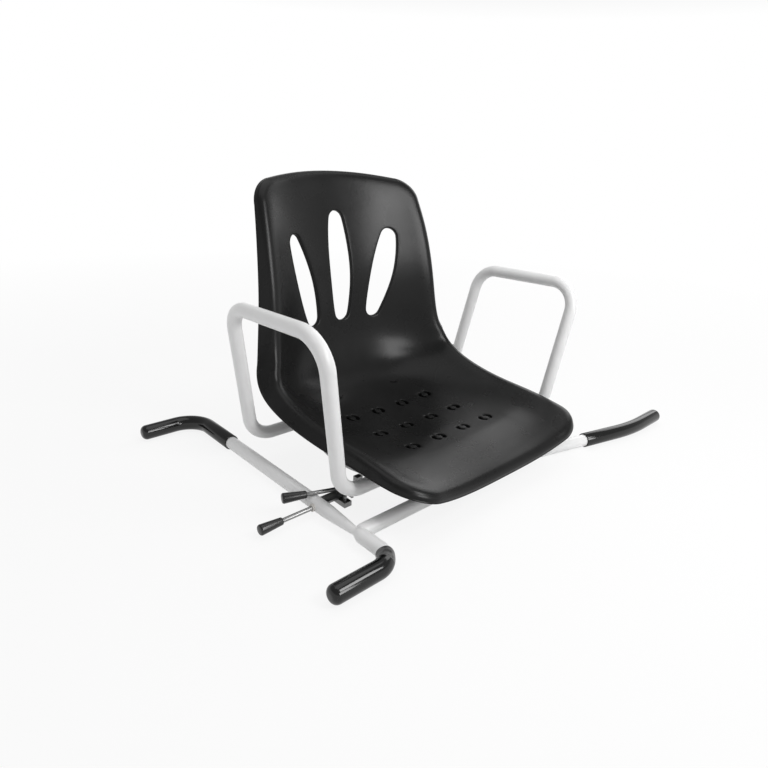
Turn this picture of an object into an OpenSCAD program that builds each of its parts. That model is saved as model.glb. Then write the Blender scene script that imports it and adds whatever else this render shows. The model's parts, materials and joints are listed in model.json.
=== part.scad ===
// Swivel bath chair: a moulded seat with tube armrests turns on a round
// turntable, above a tube frame whose four sleeved ends rest on the bath rims.
// Millimetres, +Z up, +Y to the chair's back, +X to the viewer's right.
// The origin lies on the swivel axis, in the plane of the bath rims.

/* [Frame] */
// Overall width over the tips of the resting ends
overall_w = 750; // [730:1:780]
// Swivel axis to the left tips
left_reach = 316; // [310:1:330]
// Swivel axis to the front resting ends
front_reach = 191; // [186:1:198]
// Swivel axis to the rear resting ends
rear_reach = 288; // [280:1:300]
// Swivel axis to the left side bar
bar_reach = 222; // [218:1:228]
// Swivel axis to the front cross tube
cross_reach = 125; // [122:1:130]
// Swivel axis to each rail under the turntable
rail_reach = 55; // [50:1:56]
// Outside diameter of the frame tube
tube_d = 19; // [18:0.5:20]
// Wall of the frame tube
tube_wall = 1.5; // [1:0.1:2.5]
// Swell of a tube's wall where it is bent
bend_swell = 0.06; // [0.05:0.01:0.07]
// Centre line radius of a tube corner
corner_r = 40; // [32:1:46]
// Centre line radius of the front left elbow
elbow_r = 28; // [26:1:40]
// Swivel axis to the inner bend of a cross tube's sweep
sweep_in = 75; // [72:1:85]
// Right tips to the outer bend of a cross tube's sweep
sweep_out = 94; // [84:1:110]
// Centre line radius of the inner sweep bend
sweep_in_r = 70; // [60:1:80]
// Centre line radius of the outer sweep bend
sweep_out_r = 300; // [240:10:360]
// Diameter of the neck that the side bar is drawn in to at the front cross tube
neck_d = 10.5; // [9:0.5:14]
// Length of the side bar's taper to its neck
neck_l = 55; // [45:1:56]
// Front cross tube's centre line to the neck
neck_in = 4; // [2:0.5:6]
// Length of the shoulder in front of the neck
neck_shoulder = 12; // [10:0.5:14]
// Edge rounding of the front cross tube's closed end
end_round = 8; // [5:0.5:9]

/* [Sleeves] */
// Wall of a rest sleeve
sleeve_wall = 1.85; // [1.5:0.05:3]
// Gap between a sleeve and its tube
sleeve_gap = 0.15; // [0.14:0.01:0.3]
// Thickness of a sleeve's closed end
sleeve_end = 6; // [4:0.5:9]
// Edge rounding of a sleeve's closed end
sleeve_round = 8; // [4:0.5:9]
// Length of the rear left sleeve along the side bar, from its corner
sleeve_run = 112; // [80:1:140]
// Turn of the elbow that the front left sleeve covers, in degrees
sleeve_turn = 68; // [30:1:88]
// Length of a right sleeve beyond the outer bend
sleeve_reach = 77; // [60:1:90]

/* [Turntable] */
// Radius of the base plate on the rails
base_plate_r = 95; // [90:1:100]
// Thickness of the base plate
base_plate_t = 4; // [3:0.5:5]
// Thickness of the glide ring
glide_t = 3.9; // [3.5:0.1:5]
// Inner radius of the glide ring
glide_in_r = 26; // [20:1:34]
// Outer radius of the glide ring
glide_out_r = 62; // [56:1:66]
// Running gap above the glide ring
glide_gap = 0.1; // [0.05:0.05:0.3]
// Radius of the turntable plate
turntable_r = 154; // [152:0.5:156]
// Thickness of the turntable plate
turntable_t = 3; // [2.5:0.5:4]
// Radius of the turntable's two large drain holes
drain_r = 28; // [20:1:34]
// Swivel axis to each large drain hole
drain_reach = 92; // [84:1:100]
// Diameter of the pivot bolt
pivot_d = 12; // [10:0.5:14]
// Running gap round the pivot bolt
pivot_gap = 0.05; // [0.02:0.01:0.08]
// Wall of the pivot bush
bush_wall = 2; // [1.5:0.5:3]
// Flange width and height of the pivot bush
bush_flange = 1.5; // [1:0.5:2.5]
// Thickness of the pivot washer
pivot_washer_t = 2; // [1.5:0.5:2.5]
// Height of the pivot nut
pivot_nut_h = 7; // [6:0.5:8]
// Height of the pivot bolt's head
pivot_head_h = 7; // [6:0.5:8]

/* [Armrests] */
// Outside diameter of the armrest tube
arm_d = 19; // [18:0.5:20]
// Wall of the armrest tube
arm_wall = 1.5; // [1:0.1:2.5]
// Swivel axis to an armrest's foot
arm_foot_x = 217; // [213:1:221]
// Swivel axis to an armrest's hand rail
arm_rail_x = 253; // [245:1:262]
// Front foot of an armrest, in front of the swivel axis
arm_foot_front = 84; // [80:1:88]
// Rear foot of an armrest, behind the swivel axis
arm_foot_rear = 121; // [116:1:124]
// Front end of the hand rail, in front of the swivel axis
arm_rail_front = 97; // [90:1:104]
// Rear end of the hand rail, behind the swivel axis
arm_rail_rear = 99; // [92:1:106]
// Height of the hand rail's front above the foot's centre line
arm_rise_front = 212; // [190:1:230]
// Height of the hand rail's rear above the foot's centre line
arm_rise_rear = 206; // [190:1:225]
// Centre line radius of an armrest bend
arm_bend_r = 40; // [32:1:46]
// Swivel axis to the inner end of an armrest's foot
arm_inner_x = 38; // [32:1:44]
// Length of an end plug inside the armrest tube
plug_l = 14; // [8:1:20]
// Thickness of an end plug's head
plug_head = 3; // [2:0.5:5]

/* [Seat] */
// Thickness of the moulded seat
seat_t = 4; // [3:0.5:5]
// Height of the pan's lowest line above the turntable
pan_rise = 21; // [20:0.5:26]
// Swivel axis to the front edge of the pan, before its rolled lip
seat_front = 168; // [164:1:172]
// Half width of the pan, before its rolled lip
pan_half_w = 176; // [170:1:178]
// Half width of the back's top edge, before its rolled lip
top_half_w = 144; // [134:1:150]
// Start of the heel curve, behind the swivel axis
heel_y = 85; // [80:1:90]
// Radius of the heel curve between pan and back
heel_r = 112; // [100:1:120]
// Slope of the pan where the heel curve starts, in degrees
pan_pitch = 4; // [2:0.5:6]
// Slope of the back, in degrees
back_pitch = 84.8; // [82:0.2:86]
// Length of the back above the heel curve
back_l = 240; // [225:1:260]
// How far the back's lower part stands forwards of its straight slope
back_bulge = 8; // [4:0.5:12]
// How far the back's top leans behind its straight slope
top_lean = 5.5; // [2:0.5:10]
// Radius of the front corners
front_corner_r = 34; // [26:1:46]
// Radius of the back's top corners
top_corner_r = 25; // [18:1:36]
// Rise of the back's top edge from its corners to its middle
top_crown = 9; // [4:0.5:14]
// Length of the back over which the top edge's rise fades out
top_fade = 160; // [120:5:200]
// Radius of the rolled lip
lip_r = 11; // [9:0.5:12]
// Radius of a drain hole in the pan
hole_r = 9; // [7:0.5:11]
// Bridge across a drain hole
hole_bridge = 5; // [3:0.5:7]
// Sideways pitch of the drain holes
hole_pitch_x = 53; // [48:1:56]
// Pitch of the drain hole rows
hole_pitch_y = 65; // [58:1:70]
// Swivel axis to the middle row of drain holes, forwards
hole_mid_y = 7; // [2:1:12]
// Widest part of a back slot
slot_w = 41; // [34:1:46]
// Widest part of an outer back slot
slot_side_w = 35; // [30:1:40]
// Length of the middle back slot
slot_l = 177; // [160:1:190]
// Height of the slots' lower ends above the turntable
slot_rise = 139; // [130:1:150]
// Spacing of the slots' lower ends
slot_pitch = 60; // [56:1:68]
// Sideways lean of the outer slots, in degrees
slot_lean = 14.8; // [8:0.2:18]
// Length of an outer back slot
slot_side_l = 157; // [130:1:164]
// Radius of a screw boss under the pan
boss_r = 9; // [8:0.5:11]

/* [Screws] */
// Diameter of the plate and seat screws
screw_d = 6; // [5:0.5:7]
// Gap round a screw in its hole
screw_gap = 0.3; // [0.2:0.05:0.5]
// Radius of a screw's head
head_r = 5.5; // [5:0.25:6]
// Height of a screw's head
head_h = 3.2; // [2.5:0.1:3.4]
// Swivel axis to the front seat screws, sideways
screw_front_x = 90; // [80:1:100]
// Swivel axis to the rear seat screws, sideways
screw_rear_x = 62; // [56:1:70]
// Swivel axis to the base plate screws, forwards and backwards
screw_plate_y = 58; // [54:1:62]
// Length of a base plate screw below the plate
screw_plate_l = 10; // [6:1:14]

/* [Lock] */
// Lock rod's centre line, in front of the swivel axis
lock_y = 47; // [44:1:50]
// Diameter of the lock rod
lock_d = 6; // [5:0.5:7]
// Travel of the lock rod
lock_travel = 10; // [9:0.5:10]
// Wall of the lock rod's bush
lock_bush_wall = 2; // [1.5:0.25:2.5]
// How far the bush stands out of the side bar
lock_bush_out = 2.5; // [1:0.5:4]
// Running gap of the lock rod in its bush and bracket
lock_gap = 0.05; // [0.02:0.01:0.08]
// Length of the lock nose along the rod
nose_l = 10; // [8:0.5:12]
// Width of the lock nose
nose_w = 8; // [6:0.5:10]
// Gap round the nose in a notch of the turntable
notch_gap = 0.5; // [0.3:0.1:0.8]
// Gap between the drawn nose and the turntable's rim, along the rod
nose_gap = 5; // [4:0.5:6]
// Length of a knob
knob_l = 33; // [26:1:38]
// Diameter of a knob's outer end
knob_d = 14; // [12:0.5:14]
// Diameter of a knob's inner end
knob_neck_d = 10; // [9:0.5:12]
// Edge rounding of a knob
knob_round = 2.5; // [1:0.5:4]
// Bare lock rod between the side bar's bush and the knob
lock_reach = 44; // [38:1:52]

/* [Release lever] */
// Lever pivot's distance inside the side bar's centre line
pivot_in = 35; // [33:1:38]
// Lever pivot's distance in front of the lock rod
pivot_fwd = 2; // [1:0.5:4]
// Diameter of the lever rod
lever_d = 5.5; // [5:0.25:6]
// Gap between the lever rod and the side bar
lever_gap = 0.5; // [0.4:0.1:0.8]
// Turn of the lever rod from the side bar's square, in degrees
lever_turn = 20; // [16:1:22]
// Lever pivot to the knob's inner end
lever_reach = 47; // [46:1:52]
// Diameter of the lever pivot bolt
lever_bolt_d = 7; // [6:0.5:8]
// Running gap round the lever pivot bolt
lever_bolt_gap = 0.05; // [0.02:0.01:0.08]
// Wall of the lever hub
hub_wall = 3; // [2.5:0.5:4]
// Thickness of the lever washer
lever_washer_t = 1; // [0.5:0.1:1.2]
// Height of the lever pivot bolt's head
lever_head_h = 2.4; // [2:0.1:2.6]
// Lever pivot to the crank pin
crank_r = 15; // [14.5:0.1:16]
// Diameter of the crank pin
crank_pin_d = 5; // [4:0.5:5]
// Thickness of the crank arm
crank_t = 2.5; // [2:0.1:3]
// Gap round the crank pin in its yoke
crank_gap = 0.3; // [0.2:0.05:0.5]
// Wall of the yoke round its slot
yoke_wall = 3; // [2.5:0.5:3]
// Thickness of the bracket
bracket_t = 3; // [2:0.5:3]
// Gap between the lock rod and the bracket's plate
bracket_gap = 1; // [0.8:0.1:1.2]
// Half width of the bracket
bracket_half_w = 8; // [7:0.5:8]

/* [Hidden] */
$fn = 48;
// Overshoot of a cutting solid
cut = 1;
// Reach of a straight tube into its bend
bend_lap = 0.5;
// Gap of a piece that is pressed or screwed on another
snug_gap = 0.05;

// Heights, from the bath rims upwards
tube_r = tube_d / 2;
sleeve_r = tube_r + sleeve_gap + sleeve_wall;
axis_z = sleeve_r;
tube_top = axis_z + tube_r;
base_plate_top = tube_top + base_plate_t;
turntable_z = base_plate_top + glide_t + glide_gap;
turntable_top = turntable_z + turntable_t;
arm_r = arm_d / 2;
arm_z = turntable_top + arm_r;
pan_z = turntable_top + pan_rise;

// Places on the frame
right_reach = overall_w - left_reach;
sweep_step = front_reach - cross_reach;
sweep_x = right_reach - sweep_out;
rear_cross_y = rear_reach - sweep_step;
tube_tip = sleeve_end + sleeve_gap;

// Routes of the tubes' centre lines
side_route = [
    [tube_tip - left_reach, rear_reach, axis_z],
    [-bar_reach, rear_reach, axis_z],
    [-bar_reach, -front_reach, axis_z],
    [tube_tip - left_reach, -front_reach, axis_z],
];
side_radii = [corner_r, elbow_r];
front_route = [
    [end_round - bar_reach, -cross_reach, axis_z],
    [sweep_in, -cross_reach, axis_z],
    [sweep_x, -front_reach, axis_z],
    [right_reach - tube_tip, -front_reach, axis_z],
];
front_radii = [sweep_in_r, sweep_out_r];
rear_route = [
    [right_reach - tube_tip, rear_reach, axis_z],
    [sweep_x, rear_reach, axis_z],
    [sweep_in, rear_cross_y, axis_z],
    [-rail_reach, rear_cross_y, axis_z],
    [-rail_reach, -cross_reach, axis_z],
];
rear_radii = [sweep_out_r, sweep_in_r, corner_r];
arm_route = [
    [arm_inner_x, -arm_foot_front, arm_z],
    [arm_foot_x, -arm_foot_front, arm_z],
    [arm_rail_x, -arm_rail_front, arm_z + arm_rise_front],
    [arm_rail_x, arm_rail_rear, arm_z + arm_rise_rear],
    [arm_foot_x, arm_foot_rear, arm_z],
    [arm_inner_x, arm_foot_rear, arm_z],
];
arm_radii = [for (i = [1:4]) arm_bend_r];

// Places of the lock and the release lever
lock_axis_y = -lock_y;
nose_tip = -sqrt(turntable_r * turntable_r - lock_y * lock_y) - nose_gap;
nose_top = turntable_top - cut;
lock_bush_r = lock_d / 2 + lock_gap + lock_bush_wall;
lock_bush_x = -bar_reach - tube_r - lock_bush_out;
lock_knob_x = lock_bush_x - lock_reach;
pivot_x = -bar_reach + pivot_in;
pivot_y = lock_axis_y - pivot_fwd;
bracket_z = axis_z + lock_d / 2 + bracket_gap;
bracket_top = bracket_z + bracket_t;
lever_z = tube_top + lever_gap + lever_d / 2;
hub_r = lever_bolt_d / 2 + lever_bolt_gap + hub_wall;
hub_z = bracket_top + lever_washer_t + lever_bolt_gap;
hub_top = lever_z + lever_d / 2 + lever_gap;
swing = 2 * asin(lock_travel / 2 / crank_r);
crank_a = -90 - swing / 2;
crank_x = pivot_x + crank_r * cos(crank_a);
crank_y = pivot_y + crank_r * sin(crank_a);
crank_rise = crank_r * (1 - cos(swing / 2));
yoke_w = crank_pin_d + 2 * crank_gap + 2 * yoke_wall;
yoke_z = axis_z - lock_d / 2 - cut / 2;
yoke_top = bracket_z - cut / 2;
tab_x = crank_x + lock_travel + yoke_w / 2 + cut;
bracket_end = tab_x + bracket_t;

// Places of the seat screws, on the armrests' feet
seat_screw_places = [
    for (x = [-1, 1]) [x * screw_front_x, -arm_foot_front],
    for (x = [-1, 1]) [x * screw_rear_x, arm_foot_rear],
];

// Unit vector along v
function unit(v) = v / norm(v);

// Half of the turn at corner c of a route, in degrees
function half_turn(p, c, q) = (180 - acos(unit(p - c) * unit(q - c))) / 2;

// Length that corner i of a route takes off its neighbours
function setback(route, radii, i) =
    i == 0 || i == len(route) - 1 ? 0
    : radii[i - 1] * tan(half_turn(route[i - 1], route[i], route[i + 1]));

// Straight round bar or tube from p to q
module straight(p, q, r, bore = 0) {
    d = q - p;
    translate(p) rotate([0, acos(d.z / norm(d)), atan2(d.y, d.x)]) difference() {
        cylinder(h = norm(d), r = r);
        if (bore > 0) translate([0, 0, -cut]) cylinder(h = norm(d) + 2 * cut, r = bore);
    }
}

// Round bend at c, between the directions of p and q, with a slightly swollen wall
module bend(p, c, q, bend_r, r, bore = 0) {
    half = half_turn(p, c, q);
    start = c + unit(p - c) * bend_r * tan(half);
    centre = c + unit(unit(p - c) + unit(q - c)) * bend_r / cos(half);
    x = unit(start - centre);
    n = unit(cross(c - p, q - c));
    y = cross(n, x);
    frame = [for (i = [0:2]) [x[i], y[i], n[i], centre[i]]];
    multmatrix([each frame, [0, 0, 0, 1]])
        rotate_extrude(angle = 2 * half) translate([bend_r, 0]) difference() {
            circle(r = r + bend_swell);
            if (bore > 0) circle(r = bore - bend_swell);
        }
}

// Bent bar or tube along a route, with one radius for each corner; its
// straight runs reach a little into the bends
module bent_tube(route, radii, r, bore = 0) {
    last = len(route) - 1;
    for (i = [0:last - 1]) {
        d = unit(route[i + 1] - route[i]);
        from = i == 0 ? 0 : setback(route, radii, i) - bend_lap;
        to = i == last - 1 ? 0 : setback(route, radii, i + 1) - bend_lap;
        straight(route[i] + d * from, route[i + 1] - d * to, r, bore);
    }
    for (i = [1:last - 1])
        bend(route[i - 1], route[i], route[i + 1], radii[i - 1], r, bore);
}

// Painted frame tube along a route
module frame_tube(route, radii) {
    bent_tube(route, radii, tube_r, tube_r - tube_wall);
}

// Room round the side bar's taper, neck and shoulder
module neck_cut() {
    slope = (tube_d - neck_d) / 2 / neck_l;
    rise = (tube_d - neck_d) / 2 / neck_shoulder;
    translate([-bar_reach, neck_in - cross_reach, axis_z]) rotate([-90, 0, 0]) rotate_extrude() polygon([
        [neck_d / 2, 0],
        [tube_r + slope * cut, neck_l + cut],
        [tube_r + cut, neck_l + cut],
        [tube_r + cut, -neck_shoulder - cut],
        [tube_r + rise * cut, -neck_shoulder - cut],
    ]);
}

// Left side bar with its two bent ends, drawn in and closed at the front cross
// tube and bored for the lock rod's bush
module side_bar() {
    neck = [-bar_reach, neck_in - cross_reach, axis_z];
    color("white") difference() {
        union() {
            frame_tube(side_route, side_radii);
            straight(
                neck - [0, neck_shoulder + neck_d / 2, 0], neck + [0, neck_l, 0],
                tube_r - tube_wall + bend_swell
            );
        }
        neck_cut();
        translate([-bar_reach, lock_axis_y, axis_z]) rotate([0, 90, 0])
            cylinder(h = tube_d + 2 * cut, r = lock_bush_r, center = true);
    }
}

// Front cross tube with a closed round end, coped to the side bar
module front_cross_tube() {
    color("white") difference() {
        union() {
            frame_tube(front_route, front_radii);
            translate(front_route[0] - [end_round, 0, 0]) rotate([0, 90, 0]) rotate_extrude() {
                square([tube_r - end_round, end_round]);
                translate([0, end_round]) square([tube_r, tube_wall]);
                translate([tube_r - end_round, end_round]) intersection() {
                    circle(r = end_round);
                    translate([0, -end_round]) square(end_round);
                }
            }
        }
        difference() {
            straight(side_route[1], side_route[2], tube_r);
            neck_cut();
        }
    }
}

// Outline of a cross tube's straight run past a rail at x, as a coping cutter
module cross_run(x, y) {
    straight([x - tube_d, y, axis_z], [x + tube_d, y, axis_z], tube_r + snug_gap);
}

// Tapped holes for the base plate's screws on one rail
module rail_holes(x) {
    for (y = [-1, 1])
        translate([x, y * screw_plate_y, axis_z]) cylinder(h = tube_d, d = screw_d + 2 * snug_gap);
}

// Rear cross tube, which turns forwards as the left rail and is coped to the front one
module rear_cross_tube() {
    color("white") difference() {
        frame_tube(rear_route, rear_radii);
        cross_run(-rail_reach, -cross_reach);
        rail_holes(-rail_reach);
    }
}

// Right rail, coped to both cross tubes
module cross_rail() {
    color("white") difference() {
        straight(
            [rail_reach, -cross_reach, axis_z], [rail_reach, rear_cross_y, axis_z],
            tube_r, tube_r - tube_wall
        );
        cross_run(rail_reach, -cross_reach);
        cross_run(rail_reach, rear_cross_y);
        rail_holes(rail_reach);
    }
}

// Closed round end of a sleeve, whose tip is at p and which points along x
module sleeve_tip(p, side) {
    translate(p) rotate([0, -90 * side, 0]) rotate_extrude() difference() {
        union() {
            square([sleeve_r - sleeve_round, sleeve_end]);
            translate([0, sleeve_round]) square([sleeve_r, sleeve_end]);
            translate([sleeve_r - sleeve_round, sleeve_round]) intersection() {
                circle(r = sleeve_round);
                translate([0, -sleeve_round]) square(sleeve_round);
            }
        }
        translate([0, sleeve_end]) square([tube_r + sleeve_gap, sleeve_round + sleeve_end]);
    }
}

// Length of a sleeve's closed end, up to its plain tube
sleeve_cap = sleeve_round + sleeve_end;

// Plain part of a sleeve along a route
module sleeve_body(route, radii) {
    bent_tube(route, radii, sleeve_r, tube_r + sleeve_gap);
}

// Sleeve on the front left end, which stops inside the elbow
module rest_sleeve_front_left() {
    corner = [-bar_reach - elbow_r, elbow_r - front_reach, axis_z];
    color("black") {
        sleeve_tip([-left_reach, -front_reach, axis_z], -1);
        straight(
            [sleeve_cap - left_reach - bend_lap, -front_reach, axis_z],
            corner - [-bend_lap, elbow_r, 0],
            sleeve_r, tube_r + sleeve_gap
        );
        translate(corner) rotate(-90) rotate_extrude(angle = sleeve_turn)
            translate([elbow_r, 0]) difference() {
                circle(r = sleeve_r + bend_swell);
                circle(r = tube_r + sleeve_gap - bend_swell);
            }
    }
}

// Sleeve on the rear left end, which runs on along the side bar
module rest_sleeve_rear_left() {
    color("black") {
        sleeve_tip([-left_reach, rear_reach, axis_z], -1);
        sleeve_body([
            [sleeve_cap - left_reach, rear_reach, axis_z],
            side_route[1],
            side_route[1] - [0, sleeve_run, 0],
        ], side_radii);
    }
}

// Sleeve on the right end at y, whose tube comes from inner_y
module right_sleeve(y, inner_y) {
    route = [[sweep_in, inner_y, axis_z], [sweep_x, y, axis_z], [right_reach, y, axis_z]];
    lead = setback(route, [sweep_out_r], 1) + sleeve_reach;
    start = route[1] + unit(route[0] - route[1]) * lead;
    color("black") {
        sleeve_tip([right_reach, y, axis_z], 1);
        sleeve_body([start, route[1], route[2] - [sleeve_cap - bend_lap, 0, 0]], [sweep_out_r]);
    }
}

module rest_sleeve_front_right() right_sleeve(-front_reach, -cross_reach);

module rest_sleeve_rear_right() right_sleeve(rear_reach, rear_cross_y);

// Places of the base plate's screws
module at_plate_screws() {
    for (x = [-1, 1], y = [-1, 1])
        translate([x * rail_reach, y * screw_plate_y, 0]) children();
}

// Round plate on the rails
module base_plate() {
    color("silver") difference() {
        translate([0, 0, tube_top]) cylinder(h = base_plate_t, r = base_plate_r, $fn = 96);
        translate([0, 0, tube_top - cut]) cylinder(h = base_plate_t + 2 * cut, d = pivot_d + 2 * pivot_gap);
        at_plate_screws() translate([0, 0, tube_top - cut])
            cylinder(h = base_plate_t + 2 * cut, d = screw_d + 2 * screw_gap);
    }
}

// Screws that hold the base plate on the rails
module base_plate_screws() {
    color("gray") at_plate_screws() {
        translate([0, 0, tube_top - screw_plate_l])
            cylinder(h = screw_plate_l + base_plate_t, d = screw_d);
        translate([0, 0, base_plate_top]) cylinder(h = head_h, r = head_r);
    }
}

// Plastic ring that the turntable slides on
module glide_ring() {
    color("ivory") translate([0, 0, base_plate_top]) difference() {
        cylinder(h = glide_t, r = glide_out_r, $fn = 96);
        translate([0, 0, -cut]) cylinder(h = glide_t + 2 * cut, r = glide_in_r);
    }
}

// Heights of the stack on the pivot bolt
pivot_flange_top = turntable_top + bush_flange;
pivot_washer_z = pivot_flange_top + glide_gap;
pivot_nut_z = pivot_washer_z + pivot_washer_t;
pivot_end = pivot_nut_z + pivot_nut_h + cut;
pivot_wide = pivot_d * 1.8;

// Bolt that the turntable turns on
module pivot_bolt() {
    color("gray") {
        translate([0, 0, tube_top - pivot_head_h])
            cylinder(h = pivot_head_h, d = pivot_wide / cos(30), $fn = 6);
        translate([0, 0, tube_top]) cylinder(h = pivot_end - tube_top, d = pivot_d);
    }
}

module pivot_washer() {
    color("silver") translate([0, 0, pivot_washer_z]) difference() {
        cylinder(h = pivot_washer_t, d = pivot_wide * 1.2);
        translate([0, 0, -cut]) cylinder(h = pivot_washer_t + 2 * cut, d = pivot_d + 2 * pivot_gap);
    }
}

module pivot_nut() {
    color("gray") translate([0, 0, pivot_nut_z]) difference() {
        cylinder(h = pivot_nut_h, d = pivot_wide / cos(30), $fn = 6);
        translate([0, 0, -cut]) cylinder(h = pivot_nut_h + 2 * cut, d = pivot_d + 2 * pivot_gap);
    }
}

// Round bar or ring along the lock rod's centre line, from x0 to x1
module on_lock_axis(x0, x1, r, bore = 0) {
    straight([x0, lock_axis_y, axis_z], [x1, lock_axis_y, axis_z], r, bore);
}

// Plastic bush for the lock rod, right through the side bar
module lock_bush() {
    color("white")
        on_lock_axis(
            lock_bush_x, -bar_reach + tube_r + lock_bush_out,
            lock_bush_r - snug_gap, lock_d / 2 + lock_gap
        );
}

// Bracket on the side bar: carries the lever's pivot and guides the lock rod's inner end
module lever_bracket() {
    color("gray") difference() {
        union() {
            translate([-bar_reach, pivot_y - bracket_half_w, bracket_z])
                cube([bracket_end + bar_reach, 2 * bracket_half_w, bracket_t]);
            translate([tab_x, pivot_y - bracket_half_w, yoke_z])
                cube([bracket_t, 2 * bracket_half_w, bracket_top - yoke_z]);
        }
        straight(side_route[1], side_route[2], tube_r);
        on_lock_axis(-bar_reach, tube_r + lock_bush_out + snug_gap - bar_reach, lock_bush_r);
        on_lock_axis(tab_x - cut, bracket_end + cut, lock_d / 2 + lock_gap);
        translate([pivot_x, pivot_y, bracket_z - cut])
            cylinder(h = bracket_t + 2 * cut, d = lever_bolt_d + 2 * lever_bolt_gap);
    }
}

// Shouldered bolt that the release lever turns on
module lever_pivot_bolt() {
    color("gray") translate([pivot_x, pivot_y, 0]) {
        translate([0, 0, bracket_z]) cylinder(h = hub_top + lever_bolt_gap - bracket_z, d = lever_bolt_d);
        translate([0, 0, hub_top + lever_bolt_gap]) cylinder(h = lever_head_h, r = hub_r);
    }
}

module lever_washer() {
    color("silver") translate([pivot_x, pivot_y, bracket_top]) difference() {
        cylinder(h = lever_washer_t, r = hub_r);
        translate([0, 0, -cut])
            cylinder(h = lever_washer_t + 2 * cut, d = lever_bolt_d + 2 * lever_bolt_gap);
    }
}

// Depth of a rod's end inside its knob
knob_socket = knob_l * 0.6;

// Bright rod of the lock, from inside its knob to the far side of its nose
module lock_rod() {
    color("silver") on_lock_axis(lock_knob_x - knob_socket, nose_tip - cut, lock_d / 2);
}

// Tapered knob with its inner end at the origin, pointing along +z
module knob(rod_d) {
    color("black") rotate_extrude() difference() {
        offset(r = knob_round) offset(delta = -knob_round) polygon([
            [-knob_neck_d / 2, 0], [knob_neck_d / 2, 0], [knob_d / 2, knob_l], [-knob_d / 2, knob_l],
        ]);
        translate([-knob_d, -cut]) square([knob_d, knob_l + 2 * cut]);
        translate([0, -cut]) square([rod_d / 2 + snug_gap, knob_socket + cut + snug_gap]);
    }
}

module lock_knob() {
    translate([lock_knob_x, lock_axis_y, axis_z]) rotate([0, -90, 0]) knob(lock_d);
}

// Steel nose on the lock rod, which enters a notch of the turntable
module lock_nose() {
    color("gray") difference() {
        translate([nose_tip - nose_l, lock_axis_y - nose_w / 2, yoke_z])
            cube([nose_l, nose_w, nose_top - yoke_z]);
        on_lock_axis(nose_tip - nose_l - cut, nose_tip - cut + snug_gap, lock_d / 2 + snug_gap);
    }
}

// Slotted plate on the lock rod, which the release lever's crank pin moves
module lock_yoke() {
    slot_r = crank_pin_d / 2 + crank_gap;
    front = crank_y - crank_rise - slot_r - yoke_wall;
    back = lock_axis_y + lock_d / 2 + yoke_wall;
    color("gray") difference() {
        translate([crank_x - yoke_w / 2, front, yoke_z]) cube([yoke_w, back - front, yoke_top - yoke_z]);
        on_lock_axis(crank_x - yoke_w, crank_x + yoke_w, lock_d / 2 + snug_gap);
        translate([crank_x, 0, yoke_z - cut]) {
            for (y = [crank_y, crank_y - crank_rise])
                translate([0, y, 0]) cylinder(h = yoke_top - yoke_z + 2 * cut, r = slot_r);
            translate([-slot_r, crank_y - crank_rise, 0])
                cube([2 * slot_r, crank_rise, yoke_top - yoke_z + 2 * cut]);
        }
    }
}

// Direction of the lever rod, from its pivot outwards
lever_a = 180 - lever_turn;

// Places children at the lever's pivot, with +x along the lever rod
module on_lever(z) {
    translate([pivot_x, pivot_y, z]) rotate(lever_a) children();
}

// Width of the crank arm, a little under its pin's
crank_w = crank_pin_d - cut;

// Hub of the release lever, with the crank arm and pin that drive the yoke
module release_hub() {
    color("gray") difference() {
        union() {
            translate([pivot_x, pivot_y, hub_z]) cylinder(h = hub_top - hub_z, r = hub_r);
            translate([pivot_x, pivot_y, hub_z]) rotate(crank_a) translate([0, -crank_w / 2, 0])
                cube([crank_r, crank_w, crank_t]);
            translate([crank_x, crank_y, yoke_z])
                cylinder(h = hub_z + crank_t - yoke_z, d = crank_pin_d);
        }
        translate([pivot_x, pivot_y, hub_z - cut])
            cylinder(h = hub_top - hub_z + 2 * cut, d = lever_bolt_d + 2 * lever_bolt_gap);
        on_lever(lever_z) rotate([0, 90, 0]) cylinder(h = 2 * hub_r, d = lever_d + 2 * snug_gap);
    }
}

// Bright rod of the release lever
module release_rod() {
    color("silver") difference() {
        on_lever(lever_z) rotate([0, 90, 0]) cylinder(h = lever_reach + knob_socket, d = lever_d);
        translate([pivot_x, pivot_y, hub_z])
            cylinder(h = hub_top - hub_z, d = lever_bolt_d + 4 * lever_bolt_gap);
    }
}

module release_knob() {
    on_lever(lever_z) translate([lever_reach, 0, 0]) rotate([0, 90, 0]) knob(lever_d);
}

// Places of the seat screws
module at_seat_screws() {
    for (p = seat_screw_places) translate([p.x, p.y, 0]) children();
}

// Round plate under the seat, with a lock notch at each quarter turn
module turntable_plate() {
    notch_tip = nose_tip + lock_travel + notch_gap;
    color("silver") translate([0, 0, turntable_z]) difference() {
        cylinder(h = turntable_t, r = turntable_r, $fn = 128);
        translate([0, 0, -cut]) {
            cylinder(h = turntable_t + 2 * cut, d = pivot_d + 2 * pivot_gap + 2 * bush_wall);
            at_seat_screws() cylinder(h = turntable_t + 2 * cut, d = screw_d + 2 * screw_gap);
            for (x = [-1, 1])
                translate([x * drain_reach, (arm_foot_rear - arm_foot_front) / 2, 0])
                    cylinder(h = turntable_t + 2 * cut, r = drain_r);
            for (quarter = [0:3]) rotate(90 * quarter)
                translate([-turntable_r, lock_axis_y - nose_w / 2 - notch_gap, 0])
                    cube([notch_tip + turntable_r, nose_w + 2 * notch_gap, turntable_t + 2 * cut]);
        }
    }
}

// Flanged bush in the turntable plate
module pivot_bush() {
    bore = pivot_d / 2 + pivot_gap;
    color("ivory") difference() {
        union() {
            translate([0, 0, turntable_z]) cylinder(h = turntable_t, r = bore + bush_wall);
            translate([0, 0, turntable_top]) cylinder(h = bush_flange, r = bore + bush_wall + bush_flange);
        }
        translate([0, 0, turntable_z - cut]) cylinder(h = turntable_t + bush_flange + 2 * cut, r = bore);
    }
}

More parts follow.
